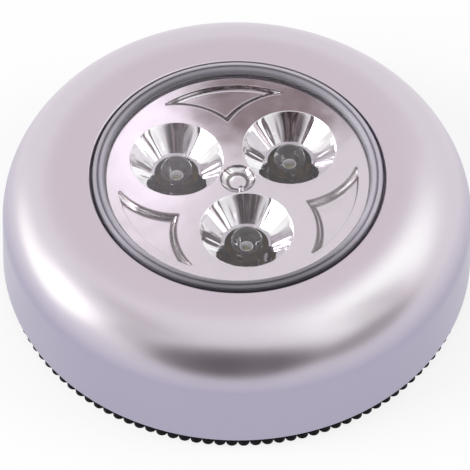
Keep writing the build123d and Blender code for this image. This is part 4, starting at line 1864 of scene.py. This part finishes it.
@dataclass
class Camera:
    """Camera far away on the photograph's side, with a long lens."""

    azimuth: float = -8.4
    elevation: float = 51.6
    roll: float = 0.76
    distance: float = 1500.0
    pixels_per_mm: float = 6.50
    aim_height: float = 7.0
    aim_side: float = -0.3
    frame_pixels: int = 470
    sensor: float = 36.0
    clip: tuple[float, float] = (0.05, 20.0)

    def build(self) -> None:
        """Makes the camera and gives it to the scene."""
        back = towards(self.azimuth, self.elevation)
        lens = bpy.data.cameras.new("camera")
        lens.sensor_width = self.sensor
        lens.lens = self.sensor * self.distance * self.pixels_per_mm / self.frame_pixels
        lens.clip_start, lens.clip_end = self.clip
        camera = bpy.data.objects.new("camera", lens)
        camera.rotation_mode = "QUATERNION"
        roll = Quaternion((0, 0, 1), math.radians(self.roll))
        camera.rotation_quaternion = (-back).to_track_quat("-Z", "Y") @ roll
        aim = towards(self.azimuth + 90.0, 0.0) * self.aim_side + Vector((0, 0, self.aim_height))
        camera.location = (aim + back * self.distance) * MM
        bpy.context.scene.collection.objects.link(camera)
        bpy.context.scene.camera = camera


@dataclass
class Card:
    """Plain card that faces the light and is only seen in reflections, and fades out at its edges."""

    name: str
    azimuth: float
    elevation: float
    distance: float
    size: tuple[float, float]
    colour: Colour
    core: float = 0.6
    stripes: float = 0.0
    stripe_stretch: Colour = (1.0, 0.05, 1.0)
    stripe_span: tuple[float, float, float, float] = (0.45, 0.70, 0.5, 8.0)

    def finish(self, wide: float, high: float) -> Material:
        """Glow that fades out past the core, with upright stripes where their number isn't zero.

        Args:
            wide: half the card's width.
            high: half its height.

        Returns:
            The material.
        """
        shader = Shader(self.name)
        spread = shader.vector("DIVIDE", shader.where, (wide, high, 1.0))
        reach = shader.vector("DISTANCE", spread, (0.0, 0.0, 0.0))
        fade = shader.span(reach, self.core, 1.0, 0.0, 1.0, "SMOOTHSTEP")
        strength = 1.0
        if self.stripes:
            strength = shader.span(shader.noise(self.stripes, 1.0, self.stripe_stretch), *self.stripe_span)
        glow = shader.node("Emission", {"Color": self.colour, "Strength": strength})
        shader.show(glow, shader.node("BsdfTransparent", {}), fade)
        return shader.material

    def build(self) -> None:
        """Stands the card in its place."""
        wide, high = self.size[0] / 2, self.size[1] / 2
        card = sheet(self.name, wide, high, self.finish(wide, high))
        face_light(card, self.azimuth, self.elevation, self.distance)
        card.visible_camera = card.visible_diffuse = card.visible_shadow = False


@dataclass
class Softbox:
    """Lamp behind a diffuser that lights the object, with no mirror image of its own."""

    name: str
    azimuth: float
    elevation: float
    distance: float
    size: tuple[float, float]
    power: float

    def build(self) -> None:
        """Stands the lamp in its place."""
        lamp = bpy.data.lights.new(self.name, "AREA")
        lamp.shape = "RECTANGLE"
        lamp.size, lamp.size_y = self.size
        lamp.energy = self.power
        holder = bpy.data.objects.new(self.name, lamp)
        face_light(holder, self.azimuth, self.elevation, self.distance)
        holder.visible_glossy = False
        bpy.context.scene.collection.objects.link(holder)


@dataclass
class Studio:
    """Pale floor, plain soft light and the dark cards that bright metal reflects."""

    floor_size: float = 6.0
    floor_glow: float = 0.8
    floor_gap: float = 0.00002
    floor_colour: Colour = (0.86, 0.86, 0.87)
    world_colour: Colour = (0.62, 0.60, 0.64)

    def floor(self) -> None:
        """Wide pale floor that shows as white but keeps a soft shadow."""
        shader = Shader("pale floor")
        paint = shader.node("BsdfDiffuse", {"Color": self.floor_colour})
        share = shader.maths("MULTIPLY", shader.seen(), self.floor_glow)
        shader.show(paint, shader.node("Emission", {}), share)
        floor = sheet("floor", self.floor_size / 2, self.floor_size / 2, shader.material)
        floor.location.z = -self.floor_gap

    def world(self) -> None:
        """White round about where it is seen or mirrored, and a plain level elsewhere."""
        world = bpy.data.worlds.new("studio")
        bpy.context.scene.world = world
        world.use_nodes = True
        wiring = Wiring(world.node_tree)
        colour = wiring.mix(wiring.seen(), self.world_colour, WHITE)
        wiring.feed(world.node_tree.nodes["Background"], {"Color": colour})

    def build(self) -> None:
        """Sets the stage and the light."""
        self.floor()
        self.world()
        things = [
            Softbox("left softbox", -84.0, 35.0, 0.8, (0.46, 0.4), 4.2),
            Softbox("right softbox", 78.0, 38.0, 0.8, (0.4, 0.4), 2.2),
            Card("right diffuser", 86.0, 52.0, 0.7, (1.10, 0.86), (1.62, 1.76, 1.62), 0.4),
            Card("left diffuser", -90.0, 24.0, 0.7, (0.50, 0.50), (2.1, 2.2, 2.05), 0.5),
            Card("left glow", -108.0, 4.0, 0.8, (0.9, 0.7), (1.8, 1.9, 1.75), 0.3),
            Card("left grey", -75.0, 60.0, 0.65, (0.44, 0.26), (0.60, 0.57, 0.58), 0.4),
            Card("front dark", -10.0, 31.0, 0.55, (0.92, 0.62), (0.034, 0.027, 0.029), 0.6, 17.0),
            Card("right stand", 58.0, 42.0, 0.5, (0.05, 0.46), (0.22, 0.19, 0.20)),
            Card("right screen", 76.0, 42.0, 0.5, (0.15, 0.46), (0.30, 0.27, 0.28), 0.6, 26.0),
            Card("left stand", -62.0, 40.0, 0.5, (0.06, 0.34), (0.12, 0.10, 0.105), 0.6, 26.0),
            Card("camera image", -8.4, 46.0, 0.5, (0.03, 0.20), (0.05, 0.03, 0.045), 0.5),
            Card("right dark", 50.0, 22.0, 0.6, (0.8, 0.34), (0.30, 0.28, 0.28), 0.4),
            Card("back panel", 171.6, 52.0, 0.9, (1.6, 1.1), (0.86, 0.81, 0.84), 0.7),
            Card("pale flag", 174.6, 51.9, 0.56, (0.036, 0.050), (1.4, 1.28, 1.4), 0.15),
            Card("brown flag", 170.5, 51.0, 0.5, (0.046, 0.024), (0.30, 0.24, 0.25), 0.40),
        ]
        for thing in things:
            thing.build()
        bpy.context.scene.view_settings.view_transform = "Standard"


def dress_frame(nodes: dict[str, Object], nickel: Material) -> None:
    """Finishes of the CAD nodes that stay.

    Args:
        nodes: the CAD nodes by name.
        nickel: the contacts' metal, shared with their springs.
    """
    white = MouldedPlastic("natural white plastic", (0.78, 0.77, 0.73), 0.45)
    black = MouldedPlastic("switch plastic", (0.02, 0.02, 0.022), 0.42)
    ivory = MouldedPlastic("stem plastic", (0.72, 0.70, 0.62), 0.4)
    tinned = DrawnMetal("tinned wire", (0.74, 0.74, 0.73), 0.34)
    finishes = {
        white.material(): ("battery_chassis",),
        black.material(): ("switch_body",),
        ivory.material(): ("switch_stem",),
        BoardLaminate("board laminate").material(): ("led_board",),
        nickel: ("contact_link_left", "contact_link_right", "contact_positive", "contact_negative"),
        tinned.material(): ("led_leads", "switch_pins", "resistor_leads"),
    }
    for finish, names in finishes.items():
        for name in names:
            dress(nodes[name], finish)


def main() -> None:
    """Builds the light, piece by piece, and the studio round it."""
    logging.basicConfig(level=logging.INFO, format="%(message)s")
    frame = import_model()
    for part in (Base(), Housing(), Reflector(), Lens()):
        part.build()
    epoxy = ClearPlastic("clear epoxy", (0.93, 0.92, 0.95), 1.53, 0.02, 0.99).material()
    metal = DrawnMetal("lead frame", (0.60, 0.59, 0.60), 0.4).material()
    phosphor = MouldedPlastic("phosphor", (0.30, 0.27, 0.12)).material()
    for number, angle in enumerate(CORNER_ANGLES, start=1):
        Lamp(angle, number).build(epoxy, metal, phosphor)
    nickel = DrawnMetal("nickel strip", (0.72, 0.69, 0.62)).material()
    steel = DrawnMetal("cell steel", (0.66, 0.66, 0.66), 0.3).material()
    for number, angle in enumerate(SIDE_ANGLES, start=1):
        Cell(angle, number).build(steel, nickel)
    Screws().build(DrawnMetal("zinc plating", (0.62, 0.63, 0.66), 0.36).material())
    Resistor().build()
    LeadWire("wire_red", Slot.RED, (0.50, 0.02, 0.015), -96.9, 27.15).build()
    LeadWire("wire_black", Slot.BLACK, (0.015, 0.015, 0.016), -85.8, 29.02).build()
    dress_frame(frame["nodes"], nickel)
    Camera().build()
    Studio().build()
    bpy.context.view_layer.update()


if __name__ == "__main__":
    main()
